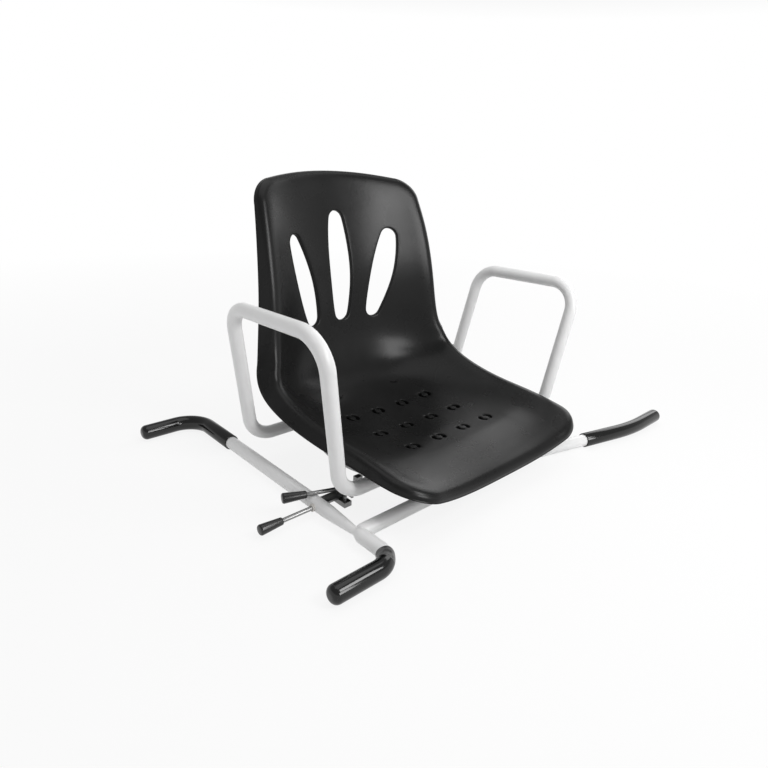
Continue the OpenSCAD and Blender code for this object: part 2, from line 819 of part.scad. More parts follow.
// Top of a seat screw's thread, inside the boss above its place
function screw_end(p) = pan_height(p) - seat_t / 2 - cut;

// Screws from below the turntable, through the armrests' feet, into the seat
module seat_screws() {
    color("gray") for (p = seat_screw_places) translate([p.x, p.y, 0]) {
        translate([0, 0, turntable_z]) cylinder(h = screw_end(p) - turntable_z, d = screw_d);
        translate([0, 0, turntable_z - head_h]) cylinder(h = head_h, r = head_r);
    }
}

// Bent armrest tube of the right side
module armrest() {
    color("white") difference() {
        bent_tube(arm_route, arm_radii, arm_r, arm_r - arm_wall);
        at_seat_screws() translate([0, 0, turntable_top - cut])
            cylinder(h = arm_d + 2 * cut, d = screw_d + 2 * screw_gap);
    }
}

module armrest_left() mirror([1, 0, 0]) armrest();

module armrest_right() armrest();

// Plugs in the inner ends of the armrests' feet
module armrest_plugs() {
    color("black") for (side = [-1, 1], y = [-arm_foot_front, arm_foot_rear])
        translate([side * arm_inner_x, y, arm_z]) rotate([0, 90 * side, 0]) {
            cylinder(h = plug_l, r = arm_r - arm_wall - snug_gap);
            translate([0, 0, -plug_head]) cylinder(h = plug_head, r = arm_r);
        }
}

// Heel curve point where the seat's slope is a, and back point at length d above
// it, set back by bow
function heel(a) = [heel_y, pan_z + 4] + heel_r * [sin(a) - sin(pan_pitch), cos(pan_pitch) - cos(a)];
function back(d, bow) = heel(back_pitch) + d * [cos(back_pitch), sin(back_pitch)] + [bow, 0];

// Seat stations from the front edge to the top of the back, each
// [y, z, half width, lift of the sides, power of the lift, depth of the lip's skirt]
stations = [
    [-seat_front, pan_z - 3.5, pan_half_w - 6, 25, 3, 3.5],
    [-seat_front + 33, pan_z + 4.5, pan_half_w, 21, 3.3, 7],
    [-seat_front + 88, pan_z + 8.5, pan_half_w - 1, 24, 3.7, 12],
    [-hole_mid_y, pan_z + 0.5, pan_half_w - 1, 34, 4, 15],
    [heel_y - 15, pan_z + 2.5, pan_half_w, 44, 3.7, 18],
    [each heel(30), pan_half_w - 2, 54, 3.3, 22],
    [each heel(57) - [back_bulge / 8, 0], pan_half_w - 9, 61 - back_bulge / 8, 2.9, 24],
    [each back(0, -back_bulge * 0.56), pan_half_w - 16, 62 - back_bulge * 0.56, 2.5, 22],
    [each back(back_l / 3, -back_bulge), top_half_w + 10, 59 - back_bulge, 2.1, 17],
    [each back(back_l * 2 / 3, -back_bulge / 8), top_half_w + 6, 45 - back_bulge / 8, 1.9, 10],
    [each back(back_l, top_lean), top_half_w, 21 + top_lean, 1.8, 4],
];
last_station = len(stations) - 1;

// Station i, carried on past both ends
function station_at(i) =
    i < 0 ? 2 * stations[0] - stations[1]
    : i > last_station ? 2 * stations[last_station] - stations[last_station - 1]
    : stations[i];

// Smooth curve through the stations, at s stations from the front
function seat_line(s) =
    let (
        i = min(floor(s), last_station - 1),
        t = s - i,
        p = station_at(i - 1),
        q = station_at(i),
        r = station_at(i + 1),
        e = station_at(i + 2)
    )
    q + (r - p) * t / 2
    + (2 * p - 5 * q + 4 * r - e) * t * t / 2
    + (3 * q - p - 3 * r + e) * t * t * t / 2;

// Length along the seat's middle line, as pairs of length and station
line_step = 0.1;
line_points = [for (s = [0:line_step:last_station]) seat_line(s)];
function gap_before(i) =
    norm([line_points[i][0] - line_points[i - 1][0], line_points[i][1] - line_points[i - 1][1]]);
line_lengths = [
    for (i = 0, l = 0; i < len(line_points); i = i + 1, l = l + (i < len(line_points) ? gap_before(i) : 0))
        l,
];
length_to_station = [for (i = [0:len(line_points) - 1]) [line_lengths[i], i * line_step]];
seat_l = line_lengths[len(line_lengths) - 1];

// How far a round corner of radius r draws the side in, at length d from the end
function draw_in(d, r) = d >= r ? 0 : r - sqrt(max(0, r * r - (r - d) * (r - d)));

// Half width of the seat at length u
function half_w(u) =
    seat_line(lookup(u, length_to_station))[2]
    - draw_in(u, front_corner_r) - draw_in(seat_l - u, top_corner_r);

// Slope of the middle line at length u, as a unit vector in Y and Z
function slope(u) =
    let (
        a = seat_line(lookup(max(0, u - cut), length_to_station)),
        b = seat_line(lookup(min(seat_l, u + cut), length_to_station))
    )
    unit([b[0] - a[0], b[1] - a[1]]);

// Point of the sitting surface at length u, at x
function seat_point(u, x) =
    let (
        side = min(abs(x) / seat_line(lookup(u, length_to_station))[2], 1.2),
        fade = max(0, 1 - (seat_l - u) / top_fade),
        v = u - top_crown * side * side * fade * fade,
        line = seat_line(lookup(v, length_to_station)),
        along = slope(v),
        lift = line[3] * pow(side, line[4])
    )
    [x, line[0] - along[1] * lift, line[1] + along[0] * lift];

// Unit vectors along the seat, across it and out of it, at length u and x
function seat_along(u, x) = unit(seat_point(min(u + cut, seat_l), x) - seat_point(max(u - cut, 0), x));
function seat_across(u, x) = unit(seat_point(u, x + cut) - seat_point(u, x - cut));
function seat_normal(u, x) = unit(cross(seat_across(u, x), seat_along(u, x)));

// Height of the pan above a place
function pan_height(p) =
    let (u = lookup(p.y, [for (e = length_to_station) [seat_line(e[1])[0], e[0]]]))
    seat_point(u, p.x).z;

// Rows of the seat's mesh: fine round the corners, even between
corner_steps = 6;
row_step = 26;
columns = 16;
corner_lengths = [for (i = [0:corner_steps]) 1 - cos(90 * i / corner_steps)];
rows = let (
        start = front_corner_r,
        end = seat_l - top_corner_r,
        n = ceil((end - start) / row_step)
    ) [
        for (c = corner_lengths) c * front_corner_r,
        for (i = [1:n - 1]) start + (end - start) * i / n,
        for (i = [corner_steps:-1:0]) seat_l - corner_lengths[i] * top_corner_r,
    ];
last_row = len(rows) - 1;

// Outward turn at row i of the right edge, from straight forwards (0) to straight back (180)
function edge_turn(i) =
    i <= corner_steps ? 90 * i / corner_steps
    : i >= last_row - corner_steps ? 180 - 90 * (last_row - i) / corner_steps
    : 90;

// Edge loop: along the front, up the right side, along the top and down the left side
edge_loop = [
    for (j = [0:columns]) [0, j],
    for (i = [1:last_row]) [i, columns],
    for (j = [columns - 1:-1:0]) [last_row, j],
    for (i = [last_row - 1:-1:1]) [i, 0],
];
loop_l = len(edge_loop);
lip_steps = [for (a = [30:30:90]) [a, 0], [90, 1]];

// Sideways place of column j in row i
function column_x(i, j) = half_w(rows[i]) * (2 * j / columns - 1);

// Grid point of the seat, depth below the sitting surface
function grid_point(i, j, depth) =
    let (u = rows[i], x = column_x(i, j))
    seat_point(u, x) - seat_normal(u, x) * depth;

// Lip point at edge e, depth inside its outer face; a step is a turn of the
// roll and a share of the skirt
function lip_point(e, step, depth) =
    let (
        i = edge_loop[e][0],
        j = edge_loop[e][1],
        u = rows[i],
        x = column_x(i, j),
        side = 2 * j / columns - 1,
        turn = edge_turn(i),
        skirt = seat_line(lookup(u, length_to_station))[5],
        n = seat_normal(u, x),
        out = unit(
            -cos(turn) * seat_along(u, x) + sin(turn) * (side < 0 ? -1 : 1) * seat_across(u, x)
        ),
        r = lip_r - depth
    )
    seat_point(u, x) - n * lip_r + r * (n * cos(step[0]) + out * sin(step[0])) - n * step[1] * skirt;

// Two triangles over the corners of one face
function split(a, b, c, d) = [[a, b, c], [a, c, d]];

// Moulded shell: sitting face, underside and rolled lip
module shell() {
    grid_n = (last_row + 1) * (columns + 1);
    rings = len(lip_steps);
    points = [
        for (depth = [0, seat_t], i = [0:last_row], j = [0:columns]) grid_point(i, j, depth),
        for (depth = [0, seat_t], step = lip_steps, e = [0:loop_l - 1]) lip_point(e, step, depth),
    ];
    at = function (side, i, j) side * grid_n + i * (columns + 1) + j;
    rim = function (side, ring, e)
        ring == 0 ? at(side, edge_loop[e % loop_l][0], edge_loop[e % loop_l][1])
        : 2 * grid_n + (side * rings + ring - 1) * loop_l + e % loop_l;
    faces = [
        for (i = [0:last_row - 1], j = [0:columns - 1]) each [
            each split(at(0, i, j), at(0, i + 1, j), at(0, i + 1, j + 1), at(0, i, j + 1)),
            each split(at(1, i, j), at(1, i, j + 1), at(1, i + 1, j + 1), at(1, i + 1, j)),
        ],
        for (ring = [0:rings - 1], e = [0:loop_l - 1]) each [
            each split(rim(0, ring, e), rim(0, ring, e + 1), rim(0, ring + 1, e + 1), rim(0, ring + 1, e)),
            each split(rim(1, ring, e), rim(1, ring + 1, e), rim(1, ring + 1, e + 1), rim(1, ring, e + 1)),
        ],
        for (e = [0:loop_l - 1])
            each split(rim(0, rings, e), rim(0, rings, e + 1), rim(1, rings, e + 1), rim(1, rings, e)),
    ];
    polyhedron(points, faces);
}

// Drain hole with a bridge from front to back
module drain_hole() {
    difference() {
        circle(r = hole_r, $fn = 24);
        square([hole_bridge, 3 * hole_r], center = true);
    }
}

// Leaf-shaped slot with its lower end at the origin
module leaf(l, w) {
    wide = w / 2;
    end = wide * 0.55;
    hull() {
        translate([0, end]) circle(r = end, $fn = 32);
        translate([0, l * 0.3]) circle(r = wide * 0.9, $fn = 32);
        translate([0, l * 0.52]) circle(r = wide, $fn = 32);
        translate([0, l * 0.75]) circle(r = wide * 0.88, $fn = 32);
        translate([0, l - end]) circle(r = end, $fn = 32);
    }
}

// Cutters of the pan's drain holes
module pan_cuts() {
    for (i = [-1.5:1:1.5], j = [-1:1])
        translate([i * hole_pitch_x, j * hole_pitch_y - hole_mid_y, pan_z - 3 * seat_t])
            linear_extrude(8 * seat_t) drain_hole();
}

// Cutters of the back's slots
module back_cuts() {
    for (side = [-1:1])
        translate([side * slot_pitch, heel_y, turntable_top + slot_rise]) rotate([90, 0, 180])
            linear_extrude(3 * heel_r) mirror([1, 0]) rotate(-side * slot_lean)
                leaf(side == 0 ? slot_l : slot_side_l, side == 0 ? slot_w : slot_side_w);
}

// Moulded seat with drain holes, back slots and screw bosses
module seat_shell() {
    color("#1c1c1e") difference() {
        union() {
            difference() {
                shell();
                pan_cuts();
                back_cuts();
            }
            for (p = seat_screw_places) translate([p.x, p.y, turntable_top + arm_d])
                cylinder(h = pan_height(p) - seat_t / 2 - turntable_top - arm_d, r = boss_r);
        }
        for (p = seat_screw_places) translate([p.x, p.y, turntable_top])
            cylinder(h = screw_end(p) + snug_gap - turntable_top, d = screw_d + 2 * snug_gap);
    }
}

side_bar();
front_cross_tube();
rear_cross_tube();
cross_rail();
rest_sleeve_front_left();
rest_sleeve_rear_left();
rest_sleeve_front_right();
rest_sleeve_rear_right();
base_plate();
base_plate_screws();
glide_ring();
pivot_bolt();
pivot_washer();
pivot_nut();
lock_bush();
lever_bracket();
lever_pivot_bolt();
lever_washer();
lock_rod();
lock_knob();
lock_nose();
lock_yoke();
release_hub();
release_rod();
release_knob();
turntable_plate();
pivot_bush();
seat_screws();
armrest_left();
armrest_right();
armrest_plugs();
seat_shell();
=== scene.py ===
import json
import math

import bmesh
import bpy
import numpy as np
from mathutils import Matrix, Vector
from mathutils.geometry import delaunay_2d_cdt
from mathutils.kdtree import KDTree


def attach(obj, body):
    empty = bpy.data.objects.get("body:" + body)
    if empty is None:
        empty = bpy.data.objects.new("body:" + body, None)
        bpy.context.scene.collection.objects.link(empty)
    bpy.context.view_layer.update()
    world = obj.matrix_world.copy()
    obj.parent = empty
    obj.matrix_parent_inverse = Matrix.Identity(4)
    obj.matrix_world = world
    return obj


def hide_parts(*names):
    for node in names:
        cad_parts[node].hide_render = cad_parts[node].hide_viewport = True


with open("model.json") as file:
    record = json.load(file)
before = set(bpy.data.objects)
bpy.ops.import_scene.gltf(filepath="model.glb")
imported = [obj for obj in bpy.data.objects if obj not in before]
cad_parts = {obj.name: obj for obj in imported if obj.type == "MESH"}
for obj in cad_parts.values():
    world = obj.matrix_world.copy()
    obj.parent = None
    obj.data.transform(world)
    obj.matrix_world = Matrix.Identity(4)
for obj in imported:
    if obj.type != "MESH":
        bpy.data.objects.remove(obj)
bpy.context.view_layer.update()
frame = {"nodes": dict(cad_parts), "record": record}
nodes = frame["nodes"]
scene = bpy.context.scene
MM = 0.001

# Camera, in millimetres and degrees, at the photograph's viewing angle
CAMERA_AT = (-620.6, -577.6, 439.7)
CAMERA_YAW, CAMERA_PITCH, CAMERA_ROLL = 43.55, 21.29, -2.62
CAMERA_FOCAL_PX, IMAGE_PX = 597.3, 768
SENSOR = 36.0


def add_camera():
    yaw, pitch, roll = (math.radians(a) for a in (CAMERA_YAW, CAMERA_PITCH, CAMERA_ROLL))
    ahead = Vector((math.sin(yaw) * math.cos(pitch), math.cos(yaw) * math.cos(pitch), -math.sin(pitch)))
    level = Vector((math.cos(yaw), -math.sin(yaw), 0))
    below = ahead.cross(level)
    right = level * math.cos(roll) + below * math.sin(roll)
    down = below * math.cos(roll) - level * math.sin(roll)
    data = bpy.data.cameras.new("camera")
    data.sensor_width = SENSOR
    data.lens = SENSOR * CAMERA_FOCAL_PX / IMAGE_PX
    camera = bpy.data.objects.new("camera", data)
    camera.matrix_world = Matrix((
        (right.x, -down.x, -ahead.x, CAMERA_AT[0] * MM),
        (right.y, -down.y, -ahead.y, CAMERA_AT[1] * MM),
        (right.z, -down.z, -ahead.z, CAMERA_AT[2] * MM),
        (0, 0, 0, 1),
    ))
    scene.collection.objects.link(camera)
    scene.camera = camera


# Materials: range of the noise that colour and roughness follow, its make-up, and the bumps' depth
NOISE_RANGE, NOISE_ROUGH = (0.3, 0.7), 0.55
PATCH_DETAIL, GRAIN_DETAIL = 4.0, 2.0
BUMP_DEPTH = 0.0006


def new_material(name):
    material = bpy.data.materials.new(name)
    material.use_nodes = True
    return material, material.node_tree


def link(tree, a, b):
    tree.links.new(a, b)


def noise(tree, scale, detail, stretch=None):
    """Noise in the object's own metres; scale is in spots per metre."""
    coords = tree.nodes.new("ShaderNodeTexCoord")
    out = coords.outputs["Object"]
    if stretch:
        mapping = tree.nodes.new("ShaderNodeMapping")
        mapping.inputs["Scale"].default_value = stretch
        link(tree, out, mapping.inputs["Vector"])
        out = mapping.outputs["Vector"]
    tex = tree.nodes.new("ShaderNodeTexNoise")
    tex.inputs["Scale"].default_value = scale
    tex.inputs["Detail"].default_value = detail
    tex.inputs["Roughness"].default_value = NOISE_ROUGH
    link(tree, out, tex.inputs["Vector"])
    return tex.outputs["Fac"]


def span(tree, value, low, high, at=NOISE_RANGE):
    """Carries a value in the range at to the range low to high."""
    node = tree.nodes.new("ShaderNodeMapRange")
    node.inputs["From Min"].default_value, node.inputs["From Max"].default_value = at
    node.inputs["To Min"].default_value, node.inputs["To Max"].default_value = low, high
    link(tree, value, node.inputs["Value"])
    return node.outputs["Result"]


def tint(tree, value, dark, light, at=NOISE_RANGE):
    """Colour between dark and light, by a value in the range at."""
    ramp = tree.nodes.new("ShaderNodeValToRGB")
    first, last = ramp.color_ramp.elements
    first.position, last.position = at
    first.color, last.color = (*dark, 1), (*light, 1)
    link(tree, value, ramp.inputs["Fac"])
    return ramp.outputs["Color"]


def bump(tree, shader, layers):
    """Bump from (value, strength) layers, each on top of the one before."""
    normal = None
    for value, strength in layers:
        node = tree.nodes.new("ShaderNodeBump")
        node.inputs["Strength"].default_value = strength
        node.inputs["Distance"].default_value = BUMP_DEPTH
        link(tree, value, node.inputs["Height"])
        if normal:
            link(tree, normal, node.inputs["Normal"])
        normal = node.outputs["Normal"]
    link(tree, normal, shader.inputs["Normal"])


def finish(name, dark, light, rough, patch, grain=None, metallic=0.0, specular=0.5, stretch=None):
    """Material with patchy colour and roughness, and bump at two scales.

    patch and grain each give spots per metre and the strength of their bump."""
    material, tree = new_material(name)
    shader = tree.nodes["Principled BSDF"]
    broad = noise(tree, patch[0], PATCH_DETAIL, stretch)
    link(tree, tint(tree, broad, dark, light), shader.inputs["Base Color"])
    link(tree, span(tree, broad, *rough), shader.inputs["Roughness"])
    shader.inputs["Metallic"].default_value = metallic
    shader.inputs["Specular IOR Level"].default_value = specular
    layers = [(broad, patch[1])] if patch[1] else []
    if grain:
        layers.append((noise(tree, grain[0], GRAIN_DETAIL, stretch), grain[1]))
    if layers:
        bump(tree, shader, layers)
    return material


def grey(v):
    return (v, v, v)


MATERIALS = {
    "white_paint": finish("white_powder_coat", grey(0.80), grey(0.84), (0.30, 0.36),
                          (25, 0), (1100, 0.035), specular=0.4),
    "black_sleeve": finish("black_vinyl_sleeve", grey(0.004), grey(0.007), (0.10, 0.14),
                           (14, 0), specular=0.45),
    "plate_steel": finish("plated_sheet", grey(0.26), grey(0.36), (0.30, 0.44),
                          (40, 0.04), (900, 0.05), metallic=1.0),
    "zinc_steel": finish("dark_zinc_plate", grey(0.14), grey(0.24), (0.28, 0.45),
                         (90, 0.06), (1200, 0.08), metallic=1.0),
    "bright_rod": finish("bright_plate", grey(0.20), grey(0.30), (0.30, 0.38),
                         (70, 0), metallic=1.0, stretch=(0.15, 1.0, 1.0)),
    "nylon": finish("natural_nylon", (0.66, 0.64, 0.60), (0.74, 0.72, 0.69), (0.40, 0.55),
                    (80, 0.03), (900, 0.05)),
    "black_knob": finish("black_knob_plastic", grey(0.008), grey(0.013), (0.24, 0.32),
                         (70, 0), (900, 0.01)),
    "black_seat": finish("black_moulded_plastic", grey(0.008), grey(0.011), (0.25, 0.31),
                         (14, 0.01), (2600, 0.05), specular=0.18),
}
# Scuffed and wrinkled end of the front left sleeve
SCUFFED_FINISH = finish("scuffed_vinyl", grey(0.015), grey(0.16), (0.30, 0.50),
                        (160, 0.25), (700, 0.10))
# Rough inner walls of the seat's openings, in a darker and duller black than the seat: painted shade
# inside the openings
SHADED_WALL_FINISH = finish("black_moulded_wall_painted_shade", grey(0.005), grey(0.008), (0.60, 0.70),
                     (60, 0.02), (1800, 0.10), specular=0.15)


def paint_nodes():
    for row in frame["record"]["subparts"]:
        obj = nodes[row["node"]]
        obj.data.materials.clear()
        obj.data.materials.append(MATERIALS[row["material_slot"]])


# Mesh helpers: edges that bend more than this stay sharp, and lengths this close count as one
SHARP_EDGE, SAME_LENGTH = math.radians(50), 0.01


def unit(v):
    return v / np.linalg.norm(v, axis=-1, keepdims=True)


def mesh_object(name, points, faces, slot, body, *replaced):
    """Smooth closed piece from millimetres, which rides on a body and stands for CAD nodes."""
    mesh = bpy.data.meshes.new(name)
    places = [tuple(p) for p in np.asarray(points) * MM]
    mesh.from_pydata(places, [], [tuple(map(int, f)) for f in faces])
    mesh.materials.append(MATERIALS[slot])
    bm = bmesh.new()
    bm.from_mesh(mesh)
    bmesh.ops.delete(bm, geom=[v for v in bm.verts if not v.link_faces], context="VERTS")
    bmesh.ops.recalc_face_normals(bm, faces=bm.faces)
    bm.to_mesh(mesh)
    bm.free()
    mesh.validate()
    mesh.shade_smooth()
    mesh.set_sharp_from_angle(angle=SHARP_EDGE)
    obj = bpy.data.objects.new(name, mesh)
    scene.collection.objects.link(obj)
    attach(obj, body)
    if replaced:
        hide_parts(*replaced)
    return obj


def bent_path(route, radii, turn_step=3.0):
    """Centre line along a route with round corners, with a point each turn_step degrees."""
    route = [np.array(p, float) for p in route]
    points = [route[0]]
    for p, c, q, r in zip(route, route[1:], route[2:], radii):
        a, b = unit(p - c), unit(q - c)
        half = (math.pi - math.acos(np.clip(a @ b, -1, 1))) / 2
        centre = c + unit(a + b) * r / math.cos(half)
        x = unit(c + a * r * math.tan(half) - centre)
        n = max(2, math.ceil(math.degrees(2 * half) / turn_step))
        turns = np.linspace(0, 2 * half, n + 1)
        points += [centre + r * (x * math.cos(t) - a * math.sin(t)) for t in turns]
    points.append(route[-1])
    return np.array(points)


def path_frames(points):
    """Lengths along a path, and its two sideways axes at each point."""
    steps = np.diff(points, axis=0)
    length = np.concatenate([[0], np.cumsum(np.linalg.norm(steps, axis=1))])
    ways = unit(steps)
    tangent = unit(np.vstack([ways[:1], ways[:-1] + ways[1:], ways[-1:]]))
    first = np.cross(tangent[0], (0, 0, 1))
    side = [unit(first) if np.linalg.norm(first) > 0.01 else np.array([1.0, 0, 0])]
    for t in tangent[1:]:
        side.append(unit(side[-1] - (side[-1] @ t) * t))
    side = np.array(side)
    return length, side, np.cross(tangent, side)


def path_length(points):
    return path_frames(points)[0][-1]


def length_to(points, place):
    """Length along a path to its point nearest a place."""
    best, at, run = math.inf, 0.0, 0.0
    for a, b in zip(points, points[1:]):
        d = b - a
        t = np.clip((np.asarray(place) - a) @ d / (d @ d), 0, 1)
        gap = np.linalg.norm(a + t * d - place)
        if gap < best:
            best, at = gap, run + t * np.linalg.norm(d)
        run += np.linalg.norm(d)
    return at


def skin(points, profile, ring, swell=None):
    """Skin round a path, as vertices and faces, with ring points round it.

    profile lists (length along the path, radius) in order, and a radius of 0 closes an end;
    swell(length, turn, radius) gives the radius at a turn round the path."""
    length, side, up = path_frames(points)
    knots = []
    for (s0, r0), (s1, r1) in zip(profile, profile[1:]):
        low, high = min(s0, s1) + SAME_LENGTH, max(s0, s1) - SAME_LENGTH
        between = [s for s in length if low < s < high]
        knots.append((s0, r0))
        for s in between if s1 > s0 else between[::-1]:
            knots.append((s, r0 + (r1 - r0) * (s - s0) / (s1 - s0)))
    knots.append(profile[-1])
    turn = np.linspace(0, 2 * math.pi, ring, endpoint=False)
    verts, faces, rows = [], [], []

    def at(s, values):
        return np.array([np.interp(s, length, values[:, k]) for k in range(3)])

    for s, r in knots:
        centre, x, y = at(s, points), unit(at(s, side)), unit(at(s, up))
        start = sum(map(len, verts))
        if r == 0:
            verts.append(centre[None])
            rows.append([start] * ring)
        else:
            radius = swell(s, turn, r) if swell else r + 0 * turn
            spoke = np.cos(turn)[:, None] * x + np.sin(turn)[:, None] * y
            verts.append(centre + radius[:, None] * spoke)
            rows.append(list(range(start, start + ring)))
    for one, two in zip(rows, rows[1:]):
        for i in range(ring):
            j = (i + 1) % ring
            face = []
            for v in (one[i], one[j], two[j], two[i]):
                if v not in face:
                    face.append(v)
            if len(face) > 2:
                faces.append(face)
    return np.vstack(verts), faces


def round_end(r, edge, steps=7):
    """Profile of a closed end with a rounded edge, from its middle outwards."""
    turn = np.linspace(0, math.pi / 2, steps)
    return [(0.0, 0.0)] + [(edge * (1 - math.cos(t)), r - edge + edge * math.sin(t)) for t in turn]


def band(rings):
    """Quads between each ring of vertices and the next."""
    faces = []
    for one, two in zip(rings, rings[1:]):
        n = len(one)
        faces += [(one[i], one[(i + 1) % n], two[(i + 1) % n], two[i]) for i in range(n)]
    return faces


# Base frame: sizes in millimetres, as in the solids
TUBE_R, SLEEVE_R, AXIS_Z = 9.5, 11.5, 11.5
LEFT_X, RIGHT_X, FRONT_Y, REAR_Y = -316.0, 434.0, -191.0, 288.0
BAR_X, CROSS_Y, REAR_CROSS_Y, RAIL_X = -222.0, -125.0, 222.0, 55.0
SWEEP_IN_X, SWEEP_OUT_X = 75.0, 340.0
CORNER_R, ELBOW_R, SWEEP_IN_R, SWEEP_OUT_R = 40.0, 28.0, 70.0, 300.0
# Neck of the side bar: place, radius, and its taper and shoulder, each as length and power
NECK_Y, NECK_R, NECK_STEPS = -121.0, 5.25, 12
TAPER_L, TAPER_POWER, SHOULDER_L, SHOULDER_POWER = 58.3, 1.15, 13.2, 1.3
END_ROUND, SLEEVE_ROUND, SLEEVE_END, SLEEVE_GAP = 8.0, 8.0, 6.0, 0.15
SLEEVE_RUN, SLEEVE_TURN, SLEEVE_REACH = 112.0, 68.0, 77.0
COPE_R = TUBE_R + 0.05
# Points round the tubes, sleeves and armrests, and degrees between points in wide bends
TUBE_RING, SLEEVE_RING, ARM_RING = 56, 72, 64
SWEEP_STEP, SLEEVE_STEP = 1.5, 1.0
# Weld beads: radius, height and number of ripples, place off the tubes, and lowest point
WELD_R, RIPPLE_H, RIPPLES, WELD_OFF, WELD_LOW = 1.9, 0.25, 18, 0.2, 0.4
WELD_STEPS, WELD_RING, WELD_STRETCH = 72, 10, 1.02
# Front left sleeve: length of its wrinkles, of their fade and of the scuff, and the wrinkles' depth
WRINKLE_L, WRINKLE_FADE, SCUFF_L, WRINKLE_H = 26.0, 18.0, 18.0, 0.20


def base_point(x, y):
    return (x, y, AXIS_Z)


def coped(verts, low=None, high=None):
    """Ends of a rail along y, shaped to the cross tubes at low and high."""
    reach = np.sqrt(np.maximum(COPE_R ** 2 - (verts[:, 2] - AXIS_Z) ** 2, 0))
    if low is not None:
        verts[:, 1] = np.maximum(verts[:, 1], low + reach)
    if high is not None:
        verts[:, 1] = np.minimum(verts[:, 1], high - reach)
    return verts


def weld(name, x, y, way):
    """Rippled weld bead where the rail at x meets the cross tube at y, on the side way."""
    turn = np.linspace(0, 2 * math.pi, WELD_STEPS, endpoint=False)
    height = TUBE_R * np.cos(turn)
    loop = np.stack([
        x + (TUBE_R + WELD_OFF) * np.sin(turn),
        y + way * (np.sqrt(np.maximum(COPE_R ** 2 - height ** 2, 0)) + WELD_OFF),
        AXIS_Z + height * WELD_STRETCH,
    ], 1)
    ahead = unit(np.roll(loop, -1, 0) - np.roll(loop, 1, 0))
    out = unit(loop - (x, y + way * TUBE_R * 1.5, AXIS_Z))
    out = unit(out - np.sum(out * ahead, 1, keepdims=True) * ahead)
    rise = np.cross(ahead, out)
    around = np.linspace(0, 2 * math.pi, WELD_RING, endpoint=False)
    ripple = WELD_R + RIPPLE_H * np.cos(RIPPLES * turn)
    verts = np.vstack([
        loop[i] + ripple[i] * (np.cos(around)[:, None] * out[i] + np.sin(around)[:, None] * rise[i])
        for i in range(len(loop))
    ])
    verts[:, 2] = np.maximum(verts[:, 2], WELD_LOW)
    rings = [list(range(i * WELD_RING, (i + 1) * WELD_RING)) for i in range(WELD_STEPS)]
    mesh_object(name, verts, band(rings + rings[:1]), "white_paint", "base")


def frame_tube(name, node, path, profile, low=None, high=None):
    """White tube of the base, with its ends shaped to cross tubes at low and high."""
    verts, faces = skin(path, profile, TUBE_RING)
    mesh_object(name, coped(verts, low, high), faces, "white_paint", "base", node)


def build_frame():
    tip = SLEEVE_END + SLEEVE_GAP
    path = bent_path([base_point(LEFT_X + tip, REAR_Y), base_point(BAR_X, REAR_Y),
                      base_point(BAR_X, FRONT_Y), base_point(LEFT_X + tip, FRONT_Y)],
                     [CORNER_R, ELBOW_R])
    end = path_length(path)
    neck = length_to(path, base_point(BAR_X, NECK_Y))
    drawn_in = TUBE_R - NECK_R
    share = np.linspace(0, 1, NECK_STEPS)
    taper = [(neck - TAPER_L * (1 - t), TUBE_R - drawn_in * t ** TAPER_POWER) for t in share]
    shoulder = [(neck + SHOULDER_L * t, NECK_R + drawn_in * math.sin(t * math.pi / 2) ** SHOULDER_POWER)
                for t in share[1:]]
    frame_tube("side_bar_tube", "side_bar", path,
               [(0, 0), (0, TUBE_R), *taper, *shoulder, (end, TUBE_R), (end, 0)])

    path = bent_path([base_point(BAR_X, CROSS_Y), base_point(SWEEP_IN_X, CROSS_Y),
                      base_point(SWEEP_OUT_X, FRONT_Y), base_point(RIGHT_X - tip, FRONT_Y)],
                     [SWEEP_IN_R, SWEEP_OUT_R], SWEEP_STEP)
    end = path_length(path)
    frame_tube("front_cross_bent_tube", "front_cross_tube", path,
               [*round_end(TUBE_R, END_ROUND), (end, TUBE_R), (end, 0)])

    path = bent_path([base_point(RIGHT_X - tip, REAR_Y), base_point(SWEEP_OUT_X, REAR_Y),
                      base_point(SWEEP_IN_X, REAR_CROSS_Y), base_point(-RAIL_X, REAR_CROSS_Y),
                      base_point(-RAIL_X, CROSS_Y)], [SWEEP_OUT_R, SWEEP_IN_R, CORNER_R], SWEEP_STEP)
    end = path_length(path)
    frame_tube("rear_cross_bent_tube", "rear_cross_tube", path,
               [(0, 0), (0, TUBE_R), (end, TUBE_R), (end, 0)], CROSS_Y)

    path = np.array([base_point(RAIL_X, CROSS_Y), base_point(RAIL_X, REAR_CROSS_Y)])
    end = REAR_CROSS_Y - CROSS_Y
    frame_tube("cross_rail_tube", "cross_rail", path,
               [(0, 0), (0, TUBE_R), (end, TUBE_R), (end, 0)], CROSS_Y, REAR_CROSS_Y)

    weld("weld_left_rail", -RAIL_X, CROSS_Y, 1)
    weld("weld_right_rail_front", RAIL_X, CROSS_Y, 1)
    weld("weld_right_rail_rear", RAIL_X, REAR_CROSS_Y, -1)


